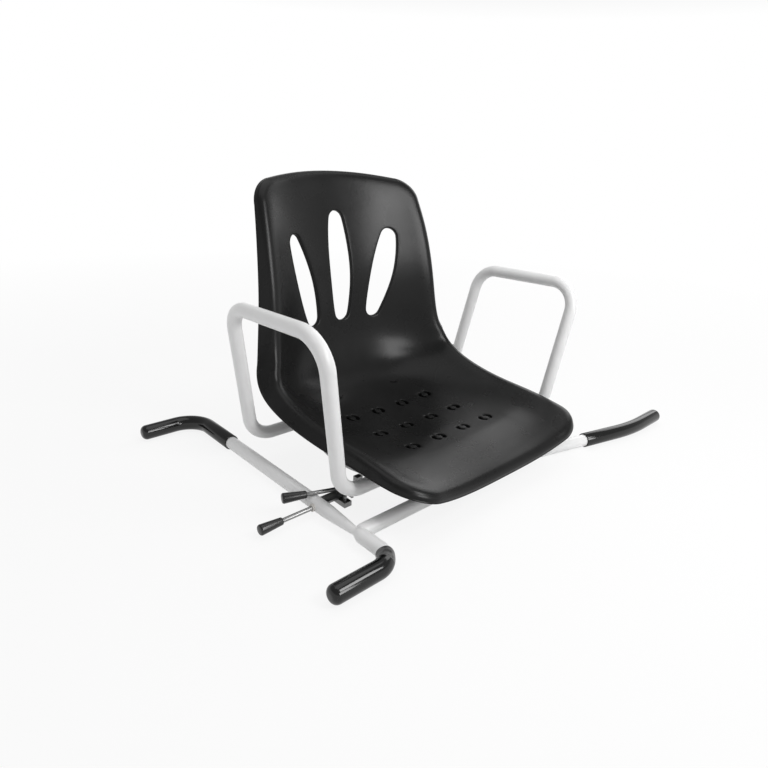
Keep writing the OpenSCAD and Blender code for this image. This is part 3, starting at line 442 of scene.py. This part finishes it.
def build_sleeve(name, node, path, end, wrinkled=False):
    """Closed vinyl sleeve from its tip to a length along its tube."""
    bore = TUBE_R + SLEEVE_GAP

    def wrinkle(s, turn, r):
        """Three waves on the outside, which together never rise above the plain sleeve."""
        near = np.clip((s - end + WRINKLE_L) / WRINKLE_FADE, 0, 1) ** 2
        folds = (np.sin(0.55 * s + 1.6 * np.sin(turn + 0.6)) + 0.7 * np.sin(3 * turn + 0.35 * s)
                 + 0.6 * np.sin(5 * turn - 0.5 * s + 1.0))
        return r + (WRINKLE_H * near * (folds - 2.3) if r > bore + 0.5 else 0.0 * turn)

    if wrinkled:
        steps = [(s, SLEEVE_R) for s in np.linspace(end - WRINKLE_L - 2, end - 1.2, 24)]
    else:
        steps = [(end - 0.8, SLEEVE_R)]
    lip = [(end - 0.3, SLEEVE_R - 0.25), (end, SLEEVE_R - 0.8), (end, bore + 0.3), (end - 0.4, bore)]
    floor = SLEEVE_END + SLEEVE_GAP / 2
    tip = round_end(SLEEVE_R, SLEEVE_ROUND, steps=10)
    verts, faces = skin(path, [*tip, *steps, *lip, (floor, bore), (floor, 0)], SLEEVE_RING,
                        wrinkle if wrinkled else None)
    sleeve = mesh_object(name, verts, faces, "black_sleeve", "base", node)
    if wrinkled:
        sleeve.data.materials.append(SCUFFED_FINISH)
        for face in sleeve.data.polygons:
            face.material_index = int(length_to(path, face.center / MM) > end - SCUFF_L)


def build_sleeves():
    path = bent_path([base_point(LEFT_X, FRONT_Y), base_point(BAR_X, FRONT_Y),
                      base_point(BAR_X, CROSS_Y)], [ELBOW_R])
    end = BAR_X - LEFT_X - ELBOW_R + ELBOW_R * math.radians(SLEEVE_TURN)
    build_sleeve("vinyl_sleeve_front_left", "rest_sleeve_front_left", path, end, wrinkled=True)
    path = bent_path([base_point(LEFT_X, REAR_Y), base_point(BAR_X, REAR_Y),
                      base_point(BAR_X, REAR_Y - SLEEVE_RUN)], [CORNER_R])
    build_sleeve("vinyl_sleeve_rear_left", "rest_sleeve_rear_left", path, path_length(path))
    for name, y, inner_y in (("front", FRONT_Y, CROSS_Y), ("rear", REAR_Y, REAR_CROSS_Y)):
        corner = np.array(base_point(SWEEP_OUT_X, y))
        way = unit(np.array(base_point(SWEEP_IN_X, inner_y)) - corner)
        half = math.acos(np.clip(-way[0], -1, 1)) / 2
        lead = SWEEP_OUT_R * math.tan(half) + SLEEVE_REACH
        path = bent_path([base_point(RIGHT_X, y), corner, corner + way * lead],
                         [SWEEP_OUT_R], SLEEVE_STEP)
        build_sleeve(f"vinyl_sleeve_{name}_right", f"rest_sleeve_{name}_right", path, path_length(path))


# Armrests: the route is that of the right one, over the height of its feet
ARM_R, ARM_Z, ARM_BEND_R = 9.5, 41.5, 40.0
ARM_ROUTE = ((38.0, -84.0, 0.0), (217.0, -84.0, 0.0), (253.0, -97.0, 212.0),
             (253.0, 99.0, 206.0), (217.0, 121.0, 0.0), (38.0, 121.0, 0.0))


def build_armrests():
    for name, side in (("left", -1), ("right", 1)):
        path = bent_path([(side * x, y, ARM_Z + z) for x, y, z in ARM_ROUTE], [ARM_BEND_R] * 4)
        end = path_length(path)
        verts, faces = skin(path, [(0, 0), (0, ARM_R), (end, ARM_R), (end, 0)], ARM_RING)
        mesh_object(f"armrest_bent_tube_{name}", verts, faces, "white_paint", "seat", f"armrest_{name}")


# Lock rod, release lever and their knobs
LOCK_Y, LOCK_R = -47.0, 3.0
LOCK_FROM_X, LOCK_TO_X, LOCK_KNOB_X = -297.8, -152.65, -278.0
PIVOT, LEVER_Z, LEVER_TURN, LEVER_R = (-187.0, -49.0), 24.25, 160.0, 2.75
LEVER_FROM, LEVER_TO, LEVER_KNOB = 3.7, 66.8, 47.0
KNOB_L, KNOB_NECK_R, KNOB_NECK_ROUND = 33.0, 5.0, 1.6
KNOB_END_R, KNOB_ROUND, KNOB_DOME, KNOB_DOME_R = 7.0, 2.5, 0.5, 2.4
ROD_EDGE, LATHE_RING = 0.6, 48


def lathe(name, start, way, profile, slot, body, node):
    """Turned piece along a straight line from start."""
    far = max(s for s, _ in profile)
    start, way = np.array(start, float), np.array(way, float)
    verts, faces = skin(np.array([start, start + way * far]), profile, LATHE_RING)
    mesh_object(name, verts, faces, slot, body, node)


def knob_profile():
    """Tapered grip with rounded edges and a shallow dome at its outer end."""
    turn = np.linspace(0, math.pi / 2, 8)
    neck, end = KNOB_NECK_R - KNOB_NECK_ROUND, KNOB_END_R - KNOB_ROUND
    inner = [(KNOB_NECK_ROUND * (1 - math.cos(t)), neck + KNOB_NECK_ROUND * math.sin(t)) for t in turn]
    outer = [(KNOB_L - KNOB_ROUND * (1 - math.sin(t)) - KNOB_DOME, end + KNOB_ROUND * math.cos(t))
             for t in turn]
    return [(0, 0), *inner, *outer, (KNOB_L - KNOB_DOME / 2, KNOB_DOME_R), (KNOB_L, 0)]


def rod_profile(r, length):
    return [(0, 0), (0, r - ROD_EDGE), (ROD_EDGE, r),
            (length - ROD_EDGE, r), (length, r - ROD_EDGE), (length, 0)]


def build_controls():
    lathe("lock_rod_bar", (LOCK_FROM_X, LOCK_Y, AXIS_Z), (1, 0, 0),
          rod_profile(LOCK_R, LOCK_TO_X - LOCK_FROM_X), "bright_rod", "lock", "lock_rod")
    lathe("lock_knob_grip", (LOCK_KNOB_X, LOCK_Y, AXIS_Z), (-1, 0, 0),
          knob_profile(), "black_knob", "lock", "lock_knob")
    a = math.radians(LEVER_TURN)
    way = np.array((math.cos(a), math.sin(a), 0))
    pivot = np.array((*PIVOT, LEVER_Z))
    lathe("release_rod_bar", pivot + way * LEVER_FROM, way,
          rod_profile(LEVER_R, LEVER_TO - LEVER_FROM), "bright_rod", "lever", "release_rod")
    lathe("release_knob_grip", pivot + way * LEVER_KNOB, way,
          knob_profile(), "black_knob", "lever", "release_knob")


# Seat: sizes in millimetres, after the solids
TURNTABLE_TOP = 32.0
PAN_Z = TURNTABLE_TOP + 21.0
SEAT_T, LIP_R = 4.0, 11.0
SEAT_FRONT, PAN_HALF_W, TOP_HALF_W = 168.0, 176.0, 144.0
HEEL_Y, HEEL_R, HEEL_RISE, HEEL_END = 85.0, 112.0, 4.0, 60.0
PAN_PITCH, BACK_PITCH, BACK_L = 4.0, 84.8, 240.0
BACK_BULGE, TOP_LEAN = 10.0, 5.5
FRONT_CORNER_R, TOP_CORNER_R = 34.0, 25.0
TOP_CROWN, TOP_FADE = 17.0, 160.0
# Width past the outline up to which the sides go on rising, and half length that gives the slope
SIDE_MAX, SLOPE_HALF = 1.2, 2.0
# Drain holes: outer and inner radius of their two curved slots, half their turn, and the pitches
HOLE_R, HOLE_IN, HOLE_TURN = 10.8, 5.3, 48.0
HOLE_PITCH_X, HOLE_PITCH_Y, HOLE_MID_Y = 53.0, 65.0, 7.0
# Slots of the back: width and length of the middle and side ones, height over the turntable,
# pitch, and lean of the side ones
SLOT_W, SLOT_SIDE_W, SLOT_L, SLOT_SIDE_L = 43.0, 39.0, 177.0, 152.0
SLOT_RISE, SLOT_PITCH, SLOT_LEAN = 139.0, 60.0, 14.8
# Offsets of the loops round an opening, over which its rim is rounded, and depth of its wall
DRAIN_RIMS, DRAIN_WALL = (0.0, 0.12, 0.35, 0.7, 1.1), 8.0
SLOT_RIMS, SLOT_WALL = (0.0, 0.15, 0.5, 1.0, 1.7, 2.5), 7.5
# Rounding of a wall's lower edge, as a height and a share of the wall's thickness
WALL_EDGE, WALL_SHARE = 0.6, 0.25
# Screw bosses: radius, bore, underside, depth of their flare under the pan, and edges
BOSS_R, BOSS_BORE, BOSS_Z, BOSS_FLARE, BOSS_RING = 9.0, 3.1, 51.0, 3.0, 32
BOSS_EDGE, BORE_EDGE, FLARE_W = 0.5, 0.4, 2.0
SCREWS = [(sx * x, y) for x, y in ((90.0, -84.0), (62.0, 121.0)) for sx in (-1, 1)]
# Soft shoulder between the sitting face and the rolled lip: fall and width
SHOULDER_FALL, SHOULDER_W = 1.0, 16.0
# Faint ridge across the pan: place, height, widths to the front and back, half length and its fade
RIDGE_Y, RIDGE_H, RIDGE_FRONT, RIDGE_BACK = -97.0, 1.0, 45.0, 60.0
RIDGE_HALF_W, RIDGE_FADE = 125.0, 30.0
# Spacing of the seat's mesh and outline, and the shares of it kept clear of outline and openings
SEAT_STEP, OUTLINE_STEP, OUTLINE_CLEAR, OPENING_CLEAR = 4.5, 4.0, 0.55, 0.45


def heel(deg, bow=0.0):
    a, p = math.radians(deg), math.radians(PAN_PITCH)
    return (HEEL_Y + HEEL_R * (math.sin(a) - math.sin(p)) + bow,
            PAN_Z + HEEL_RISE + HEEL_R * (math.cos(p) - math.cos(a)))


def back(d, bow):
    y, z = heel(BACK_PITCH)
    a = math.radians(BACK_PITCH)
    return y + d * math.cos(a) + bow, z + d * math.sin(a)


# Stations from the front edge to the top of the back: y, z, half width, lift of
# the sides, power of the lift, depth of the lip's skirt
STATIONS = np.array([
    (-SEAT_FRONT, PAN_Z - 3.5, PAN_HALF_W - 6, 25, 3.0, 3.5),
    (-SEAT_FRONT + 33, PAN_Z + 4.5, PAN_HALF_W, 21, 3.3, 7),
    (-SEAT_FRONT + 88, PAN_Z + 8.5, PAN_HALF_W - 1, 24, 3.7, 12),
    (-HOLE_MID_Y, PAN_Z + 0.5, PAN_HALF_W - 1, 34, 4.0, 15),
    (HEEL_Y - 15, PAN_Z + 2.5, PAN_HALF_W, 44, 3.7, 18),
    (*heel(30), PAN_HALF_W - 2, 54, 3.3, 22),
    (*heel(57, -BACK_BULGE / 8), PAN_HALF_W - 9, 61 - BACK_BULGE / 8, 2.9, 24),
    (*back(0, -BACK_BULGE * 0.56), PAN_HALF_W - 16, 62 - BACK_BULGE * 0.56, 2.5, 22),
    (*back(BACK_L / 3, -BACK_BULGE), TOP_HALF_W + 10, 59 - BACK_BULGE, 2.1, 17),
    (*back(BACK_L * 2 / 3, -BACK_BULGE / 8), TOP_HALF_W + 6, 45 - BACK_BULGE / 8, 1.9, 10),
    (*back(BACK_L, TOP_LEAN), TOP_HALF_W, 21 + TOP_LEAN, 1.8, 4),
])
LAST = len(STATIONS) - 1
PADDED = np.vstack([2 * STATIONS[0] - STATIONS[1], STATIONS, 2 * STATIONS[-1] - STATIONS[-2]])


def seat_line(s):
    """Smooth curve through the stations, at s stations from the front."""
    s = np.asarray(s, float)
    i = np.minimum(np.floor(s).astype(int), LAST - 1)
    t = (s - i)[..., None]
    p, q, r, e = (PADDED[i + k] for k in range(4))
    return (q + (r - p) * t / 2 + (2 * p - 5 * q + 4 * r - e) * t * t / 2
            + (3 * q - p - 3 * r + e) * t ** 3 / 2)


def line_length(line):
    return np.concatenate([[0], np.cumsum(np.hypot(*np.diff(line[:, :2], axis=0).T))])


def smooth_line(step=1.0, blur=25.0, samples=801):
    """Middle line at even lengths, with the stations' changes of curvature blurred out."""
    line = seat_line(np.linspace(0, LAST, samples))
    length = line_length(line)
    even = np.linspace(0, length[-1], int(length[-1] / step) + 1)
    line = np.stack([np.interp(even, length, column) for column in line.T], 1)
    reach = int(3 * blur / step)
    weight = np.exp(-(np.arange(-reach, reach + 1) * step / blur) ** 2 / 2)
    weight = weight / weight.sum()
    before, after = 2 * line[0] - line[reach:0:-1], 2 * line[-1] - line[-2:-reach - 2:-1]
    padded = np.vstack([before, line, after])
    return np.stack([np.convolve(column, weight, "valid") for column in padded.T], 1)


LINE = smooth_line()
LINE_LENGTH = line_length(LINE)
SEAT_L = LINE_LENGTH[-1]
PAN_ROWS = LINE[:, 0] < HEEL_Y + HEEL_END


def pan_length(y):
    """Length along the middle line at y, on the pan."""
    return np.interp(y, LINE[PAN_ROWS, 0], LINE_LENGTH[PAN_ROWS])


def at_length(u):
    return np.stack([np.interp(u, LINE_LENGTH, column) for column in LINE.T], -1)


def slope(u):
    a, b = at_length(np.maximum(u - SLOPE_HALF, 0)), at_length(np.minimum(u + SLOPE_HALF, SEAT_L))
    return unit((b - a)[..., :2])


def seat_point(u, x):
    """Point of the sitting surface at length u along the middle line, at x."""
    u, x = np.broadcast_arrays(np.asarray(u, float), np.asarray(x, float))
    side = np.minimum(np.abs(x) / at_length(u)[..., 2], SIDE_MAX)
    fade = np.maximum(0, 1 - (SEAT_L - u) / TOP_FADE)
    v = u - TOP_CROWN * side ** 2 * fade ** 2
    line, along = at_length(v), slope(v)
    lift = line[..., 3] * side ** line[..., 4]
    return np.stack([x, line[..., 0] - along[..., 1] * lift, line[..., 1] + along[..., 0] * lift], -1)


def seat_axes(u, x):
    """Unit vectors along the seat, across it and out of it."""
    u, x = np.broadcast_arrays(np.asarray(u, float), np.asarray(x, float))
    along = unit(seat_point(np.minimum(u + 1, SEAT_L), x) - seat_point(np.maximum(u - 1, 0), x))
    across = unit(seat_point(u, x + 1) - seat_point(u, x - 1))
    return along, across, unit(np.cross(across, along))


def ridge(u, x):
    """Height of the faint ridge across the pan."""
    d = u - pan_length(RIDGE_Y)
    share = np.maximum(0, 1 - np.where(d < 0, -d / RIDGE_FRONT, d / RIDGE_BACK))
    return RIDGE_H * share * np.clip((RIDGE_HALF_W + RIDGE_FADE / 2 - np.abs(x)) / RIDGE_FADE, 0, 1)


def seat_outline():
    """Closed outline as (u, x) with its outward direction, from the front right round by the top."""
    def half_w(u):
        return at_length(u)[..., 2]

    def straight(u, x, out):
        return np.stack([0 * x + u, x, 0 * x + out, 0 * x], 1)

    corner = np.linspace(0, math.pi / 2, 16)
    cos, sin = np.cos(corner), np.sin(corner)
    u0 = FRONT_CORNER_R * (1 - cos)
    front = np.stack([u0, half_w(u0) - FRONT_CORNER_R * (1 - sin), -cos, sin], 1)
    u1 = np.arange(FRONT_CORNER_R, SEAT_L - TOP_CORNER_R, OUTLINE_STEP)[1:]
    side = np.stack([u1, half_w(u1), 0 * u1, 0 * u1 + 1], 1)
    u2 = SEAT_L - TOP_CORNER_R * (1 - sin)
    top = np.stack([u2, half_w(u2) - TOP_CORNER_R * (1 - cos), sin, cos], 1)
    right = np.vstack([front, side, top])
    left = right[::-1] * (1, -1, 1, -1)
    top_x, front_x = top[-1, 1], front[0, 1]
    across_top = np.linspace(top_x, -top_x, int(2 * top_x / OUTLINE_STEP))[1:-1]
    across_front = np.linspace(-front_x, front_x, int(2 * front_x / OUTLINE_STEP))[1:-1]
    return np.vstack([right, straight(SEAT_L, across_top, 1), left, straight(0, across_front, -1)])


def grown(loop, d):
    """Smooth loop, run anticlockwise, moved outwards by d."""
    ahead = unit(np.roll(loop, -1, 0) - np.roll(loop, 1, 0))
    return loop + d * np.stack([ahead[:, 1], -ahead[:, 0]], 1)


def drain_slot(side):
    """One of a drain hole's two curved slots, run anticlockwise, with rounded ends."""
    def spot(r, turn):
        return r * np.stack([np.cos(turn), np.sin(turn)], 1)

    mid, half, end = (HOLE_R + HOLE_IN) / 2, (HOLE_R - HOLE_IN) / 2, math.radians(HOLE_TURN)
    turn, cap = np.linspace(-end, end, 18), np.linspace(0, math.pi, 9)[1:-1]
    far_end = spot(mid, np.array([end])) + spot(half, end + cap)
    near_end = spot(mid, np.array([-end])) + spot(half, math.pi - end + cap)
    loop = np.vstack([spot(HOLE_R, turn), far_end, spot(HOLE_IN, -turn), near_end])
    return loop if side > 0 else -loop


def leaf_loop(length, width, turns=160, points=132):
    """Closed leaf outline, run anticlockwise: the envelope of circles along its middle."""
    wide = width / 2
    end = 0.68 * wide
    circles = ((end, end), (0.3 * length, 0.9 * wide), (0.52 * length, wide),
               (0.75 * length, 0.88 * wide), (length - end, end))
    turn = np.linspace(0, 2 * math.pi, turns, endpoint=False)
    direction = np.stack([np.cos(turn), np.sin(turn)], 1)
    support = np.max([direction[:, 1] * c + r for c, r in circles], axis=0)
    blur = np.exp(-np.linspace(-2, 2, 9) ** 2)
    reach = np.concatenate([support[-4:], support, support[:4]])
    support = np.convolve(reach, blur / blur.sum(), "valid")
    grow = (np.roll(support, -1) - np.roll(support, 1)) / (2 * (turn[1] - turn[0]))
    tangent = np.stack([-direction[:, 1], direction[:, 0]], 1)
    loop = direction * support[:, None] + tangent * grow[:, None]
    loop = loop[np.linalg.norm(np.roll(loop, -1, 0) - loop, axis=1) > 0.05]
    closed = np.vstack([loop, loop[:1]])
    run = np.concatenate([[0], np.cumsum(np.linalg.norm(np.diff(closed, axis=0), axis=1))])
    even = np.linspace(0, run[-1], points, endpoint=False)
    return np.stack([np.interp(even, run, closed[:, k]) for k in (0, 1)], 1)


def u_at_height(x, z, halvings=40):
    """Length along the seat where the back reaches height z, at x."""
    low, high = np.full(len(x), pan_length(HEEL_Y + HEEL_END)), np.full(len(x), SEAT_L)
    for _ in range(halvings):
        mid = (low + high) / 2
        above = seat_point(mid, x)[:, 2] > z
        low, high = np.where(above, low, mid), np.where(above, mid, high)
    return (low + high) / 2


def seat_openings():
    """Openings of the seat: offset loops in (u, x), radius of the rim and depth of the wall."""
    rows = []
    for j in (-1, 0, 1):
        u = pan_length(j * HOLE_PITCH_Y - HOLE_MID_Y)
        for i in (-1.5, -0.5, 0.5, 1.5):
            for side in (-1, 1):
                loop = drain_slot(side)
                loops = [grown(loop, d)[:, ::-1] + (u, i * HOLE_PITCH_X) for d in DRAIN_RIMS]
                rows.append((loops, DRAIN_RIMS[-1], DRAIN_WALL))
    for side in (-1, 0, 1):
        loop = leaf_loop(SLOT_SIDE_L, SLOT_SIDE_W) if side else leaf_loop(SLOT_L, SLOT_W)
        a = -math.radians(side * SLOT_LEAN)
        turned = loop @ np.array([[math.cos(a), math.sin(a)], [-math.sin(a), math.cos(a)]])
        loops = []
        for d in SLOT_RIMS:
            p = grown(turned, d) + (side * SLOT_PITCH, TURNTABLE_TOP + SLOT_RISE)
            loops.append(np.stack([u_at_height(p[:, 0], p[:, 1]), p[:, 0]], 1))
        rows.append((loops, SLOT_RIMS[-1], SLOT_WALL))
    return rows


def near_loop(points, loop, margin=0.0):
    """Numbers of the points in a loop's box, grown by a margin."""
    low, high = loop.min(0) - margin, loop.max(0) + margin
    return np.where(np.all((points > low) & (points < high), axis=1))[0]


def inside(points, loop):
    """Which points lie inside a closed loop."""
    crossing = np.zeros(len(points), bool)
    for (u0, x0), (u1, x1) in zip(loop, np.roll(loop, -1, 0)):
        cuts = (x0 > points[:, 1]) != (x1 > points[:, 1])
        if cuts.any():
            at = u0 + (points[:, 1] - x0) * (u1 - u0) / (x1 - x0)
            crossing ^= cuts & (points[:, 0] < at)
    return crossing


def distance_to(points, loop):
    """Distance of each point from a closed loop's line."""
    best = np.full(len(points), math.inf)
    for a, b in zip(loop, np.roll(loop, -1, 0)):
        d = b - a
        t = np.clip(((points - a) @ d) / (d @ d), 0, 1)
        best = np.minimum(best, np.linalg.norm(points - a - t[:, None] * d, axis=1))
    return best


def edge_fall(points, rim, parts=4):
    """Fall of the soft shoulder at each point, by its distance from the seat's edge."""
    edge = points[rim]
    tree = KDTree(len(edge) * parts)
    for i, (a, b) in enumerate(zip(edge, np.roll(edge, -1, 0))):
        for k in range(parts):
            tree.insert(a + (b - a) * k / parts, parts * i + k)
    tree.balance()
    gap = np.array([tree.find(p)[2] for p in points])
    gap[rim] = 0
    return SHOULDER_FALL * np.maximum(0, 1 - gap / SHOULDER_W) ** 3


def lip_profile():
    """Section of the rolled lip as (out, up, share of the skirt), from shoulder to underside."""
    tilt = 3 * SHOULDER_FALL / SHOULDER_W
    fall = LIP_R - SHOULDER_FALL
    s = tilt * LIP_R / (fall - tilt * LIP_R)
    wide, tall = LIP_R / (1 - s), fall / math.sqrt(1 - s * s)
    turn = np.linspace(math.asin(s), math.pi / 2, 12)[1:]
    outer = [(wide * (math.sin(a) - s), tall * math.cos(a), 0.0) for a in turn]
    skirt = [(LIP_R, 0.0, share) for share in (0.25, 0.5, 0.75)]
    inner_r = LIP_R - SEAT_T
    # small bead along the lower edge, then round to the inside
    bead = [(LIP_R, 2.1, 1.0), (LIP_R + 0.35, 1.6, 1.0), (LIP_R + 0.6, 1.0, 1.0),
            (LIP_R + 0.5, 0.4, 1.0), (LIP_R + 0.1, 0.05, 1.0), (inner_r + 1.2, 0.0, 1.0),
            (inner_r + 0.3, 0.3, 1.0), (inner_r, 1.0, 1.0)]
    back_up = [(inner_r, 0.0, share) for share in (0.66, 0.33)]
    turn = np.radians(np.linspace(90, 0, 8))[:-1]
    inner = [(inner_r * math.sin(a), inner_r * math.cos(a), 0.0) for a in turn]
    return np.array(outer + skirt + bead + back_up + inner)


def seat_sheet(outline, openings):
    """Flat triangles of the seat in (u, x), with the new places of the loops' points."""
    coords, edges = [], []
    for loop in [outline] + [loop for loops, _, _ in openings for loop in loops]:
        start, n = len(coords), len(loop)
        coords.extend(map(tuple, loop))
        edges.extend((start + i, start + (i + 1) % n) for i in range(n))
    uu, xx = np.meshgrid(np.arange(pan_length(RIDGE_Y) % SEAT_STEP, SEAT_L, SEAT_STEP),
                         np.arange(-PAN_HALF_W, PAN_HALF_W + 1, SEAT_STEP), indexing="ij")
    grid = np.stack([uu.ravel(), xx.ravel()], 1)
    free = inside(grid, outline) & (distance_to(grid, outline) > OUTLINE_CLEAR * SEAT_STEP)
    for loops, _, _ in openings:
        ring = loops[-1]
        idx = near_loop(grid, ring, SEAT_STEP)
        close = distance_to(grid[idx], ring) < OPENING_CLEAR * SEAT_STEP
        free[idx[inside(grid[idx], ring) | close]] = False
    coords.extend(map(tuple, grid[free]))
    out = delaunay_2d_cdt([Vector(c) for c in coords], edges, [], 0, 1e-5)
    flat = np.array([tuple(v) for v in out[0]])
    triangles = np.array([f for f in out[2] if len(f) == 3])
    where = {old: new for new, olds in enumerate(out[3]) for old in olds}
    return flat, triangles, where


def build_seat():
    outline, openings = seat_outline(), seat_openings()
    flat, triangles, where = seat_sheet(outline[:, :2], openings)
    n = len(flat)
    middles = flat[triangles].mean(1)
    upper_keep = inside(middles, outline[:, :2])
    lower_keep = upper_keep.copy()
    for loops, _, _ in openings:
        for keep, hole in ((upper_keep, loops[0]), (lower_keep, loops[-1])):
            idx = near_loop(middles, hole)
            keep[idx[inside(middles[idx], hole)]] = False
    faces = [*map(tuple, triangles[upper_keep]), *map(tuple, triangles[lower_keep] + n)]

    rim = [where[i] for i in range(len(outline))]
    points = seat_point(flat[:, 0], flat[:, 1])
    along, across, normal = seat_axes(flat[:, 0], flat[:, 1])
    drop = edge_fall(points, rim) - ridge(flat[:, 0], flat[:, 1])
    for loops, r, _ in openings:
        idx = near_loop(flat, loops[-1], 1)
        d = np.minimum(distance_to(flat[idx], loops[0]), r)
        drop[idx] += r - np.sqrt(np.maximum(0, r ** 2 - (r - d) ** 2))
    parts = [points - normal * drop[:, None], points - normal * SEAT_T]

    def add_ring(place):
        """Adds a ring of vertices, and gives their numbers."""
        start = sum(map(len, parts))
        parts.append(place)
        return list(range(start, start + len(place)))

    # turned-in walls of the openings
    walls, start = [], len(outline)
    for loops, _, depth in openings:
        m = len(loops[0])
        inner = [where[start + i] for i in range(m)]
        start += m * len(loops)
        outer = [where[start - m + i] for i in range(m)]
        rings = [inner]
        for ring, other, share, down in ((inner, outer, 0, depth - WALL_EDGE),
                                         (inner, outer, WALL_SHARE, depth),
                                         (outer, inner, WALL_SHARE, depth),
                                         (outer, inner, 0, depth - WALL_EDGE)):
            place = points[ring] + (points[other] - points[ring]) * share
            rings.append(add_ring(place - normal[ring] * down))
        walls += band([*rings, [i + n for i in outer]])

    # rolled lip round the outline
    edge_out = unit(outline[:, 2:3] * along[rim] + outline[:, 3:4] * across[rim])
    skirt = at_length(outline[:, 0])[:, 5:6]
    rings = [rim]
    for out_by, up_by, share in lip_profile():
        raised = points[rim] + normal[rim] * (up_by - LIP_R - share * skirt)
        rings.append(add_ring(raised + edge_out * out_by))
    faces += band([*rings, [i + n for i in rim]])

    # screw bosses under the pan
    turn = np.linspace(0, 2 * math.pi, BOSS_RING, endpoint=False)
    for x, y in SCREWS:
        top = seat_point(pan_length(y), x)[2] - SEAT_T / 2
        section = ((BOSS_BORE, top - BOSS_FLARE), (BOSS_BORE, BOSS_Z + BORE_EDGE),
                   (BOSS_BORE + BORE_EDGE, BOSS_Z), (BOSS_R - BOSS_EDGE, BOSS_Z),
                   (BOSS_R, BOSS_Z + BOSS_EDGE), (BOSS_R, top - BOSS_FLARE), (BOSS_R + FLARE_W, top))
        rings = [add_ring(np.stack([x + r * np.cos(turn), y + r * np.sin(turn), 0 * turn + z], 1))
                 for r, z in section]
        faces += band(rings + rings[:1])

    seat = mesh_object("seat_moulding", np.vstack(parts), faces + walls,
                       "black_seat", "seat", "seat_shell")
    # the opening walls take the darker, duller black, which is painted shade inside the openings
    seat.data.materials.append(SHADED_WALL_FINISH)
    for face in seat.data.polygons[len(faces):]:
        face.material_index = 1


# Floor: half size and height in metres, grey under plain light, white share that the camera sees
# under the object, and the distances over which that becomes all white
FLOOR_HALF, FLOOR_Z, FLOOR_GREY = 30.0, -0.0002, 0.85
FLOOR_WHITE, FLOOR_FADE = 0.86, (0.6, 2.0)


def light_path_share(tree):
    """1 for camera, glossy and transmission rays."""
    path = tree.nodes.new("ShaderNodeLightPath")
    total = path.outputs["Is Camera Ray"]
    for name in ("Is Glossy Ray", "Is Transmission Ray"):
        node = tree.nodes.new("ShaderNodeMath")
        node.operation = "MAXIMUM"
        link(tree, total, node.inputs[0])
        link(tree, path.outputs[name], node.inputs[1])
        total = node.outputs[0]
    return total


def add_floor():
    h = FLOOR_HALF
    mesh = bpy.data.meshes.new("floor")
    mesh.from_pydata([(-h, -h, 0), (h, -h, 0), (h, h, 0), (-h, h, 0)], [], [(0, 1, 2, 3)])
    floor = bpy.data.objects.new("floor", mesh)
    floor.location.z = FLOOR_Z
    scene.collection.objects.link(floor)
    material, tree = new_material("floor_white")
    tree.nodes.clear()
    out = tree.nodes.new("ShaderNodeOutputMaterial")
    mix = tree.nodes.new("ShaderNodeMixShader")
    plain = tree.nodes.new("ShaderNodeBsdfDiffuse")
    plain.inputs["Color"].default_value = (*grey(FLOOR_GREY), 1)
    white = tree.nodes.new("ShaderNodeEmission")
    white.inputs["Color"].default_value = (1, 1, 1, 1)
    coords = tree.nodes.new("ShaderNodeTexCoord")
    reach = tree.nodes.new("ShaderNodeVectorMath")
    reach.operation = "LENGTH"
    link(tree, coords.outputs["Object"], reach.inputs[0])
    share = tree.nodes.new("ShaderNodeMath")
    share.operation = "MULTIPLY"
    link(tree, light_path_share(tree), share.inputs[0])
    link(tree, span(tree, reach.outputs["Value"], FLOOR_WHITE, 1.0, FLOOR_FADE), share.inputs[1])
    link(tree, share.outputs[0], mix.inputs["Fac"])
    link(tree, plain.outputs[0], mix.inputs[1])
    link(tree, white.outputs[0], mix.inputs[2])
    link(tree, mix.outputs[0], out.inputs["Surface"])
    mesh.materials.append(material)


# World: white round the horizon and grey overhead, with the heights between which it changes
DOME_GREY, DOME_FADE = 0.42, (0.18, 0.42)


def add_world():
    world = bpy.data.worlds.new("studio")
    world.use_nodes = True
    scene.world = world
    tree = world.node_tree
    back_light = tree.nodes["Background"]
    back_light.inputs["Strength"].default_value = 1.0
    coords = tree.nodes.new("ShaderNodeTexCoord")
    split = tree.nodes.new("ShaderNodeSeparateXYZ")
    link(tree, coords.outputs["Generated"], split.inputs[0])
    colour = tint(tree, split.outputs["Z"], grey(1), grey(DOME_GREY), DOME_FADE)
    link(tree, colour, back_light.inputs["Color"])


def add_area(name, at, towards, size, power, sheen_only=False):
    """Area lamp in metres and watts; one for sheen only shows in gloss and lights nothing."""
    data = bpy.data.lights.new(name, "AREA")
    data.shape = "RECTANGLE"
    data.size, data.size_y = size
    data.energy = power
    lamp = bpy.data.objects.new(name, data)
    lamp.location = at
    lamp.rotation_euler = (Vector(towards) - Vector(at)).to_track_quat("-Z", "Y").to_euler()
    lamp.visible_camera = False
    lamp.visible_diffuse = not sheen_only
    scene.collection.objects.link(lamp)


def add_lamps():
    add_area("key_right", at=(0.25, -0.82, 0.89), towards=(0, 0, 0.15), size=(0.42, 0.42), power=5.6)
    add_area("front_box", at=(0.10, -1.72, 0.80), towards=(0.05, 0.1, 0.2), size=(0.95, 0.62),
             power=18, sheen_only=True)
    add_area("right_soft", at=(1.60, 0.35, 1.05), towards=(0, 0, 0.1), size=(1.1, 1.1), power=8)
    add_area("top_soft", at=(0.10, 0.10, 1.45), towards=(0, 0, 0), size=(1.2, 1.2), power=4.5)


add_camera()
paint_nodes()
build_frame()
build_sleeves()
build_armrests()
build_controls()
build_seat()
add_floor()
add_world()
add_lamps()

scene.view_settings.view_transform = "Standard"
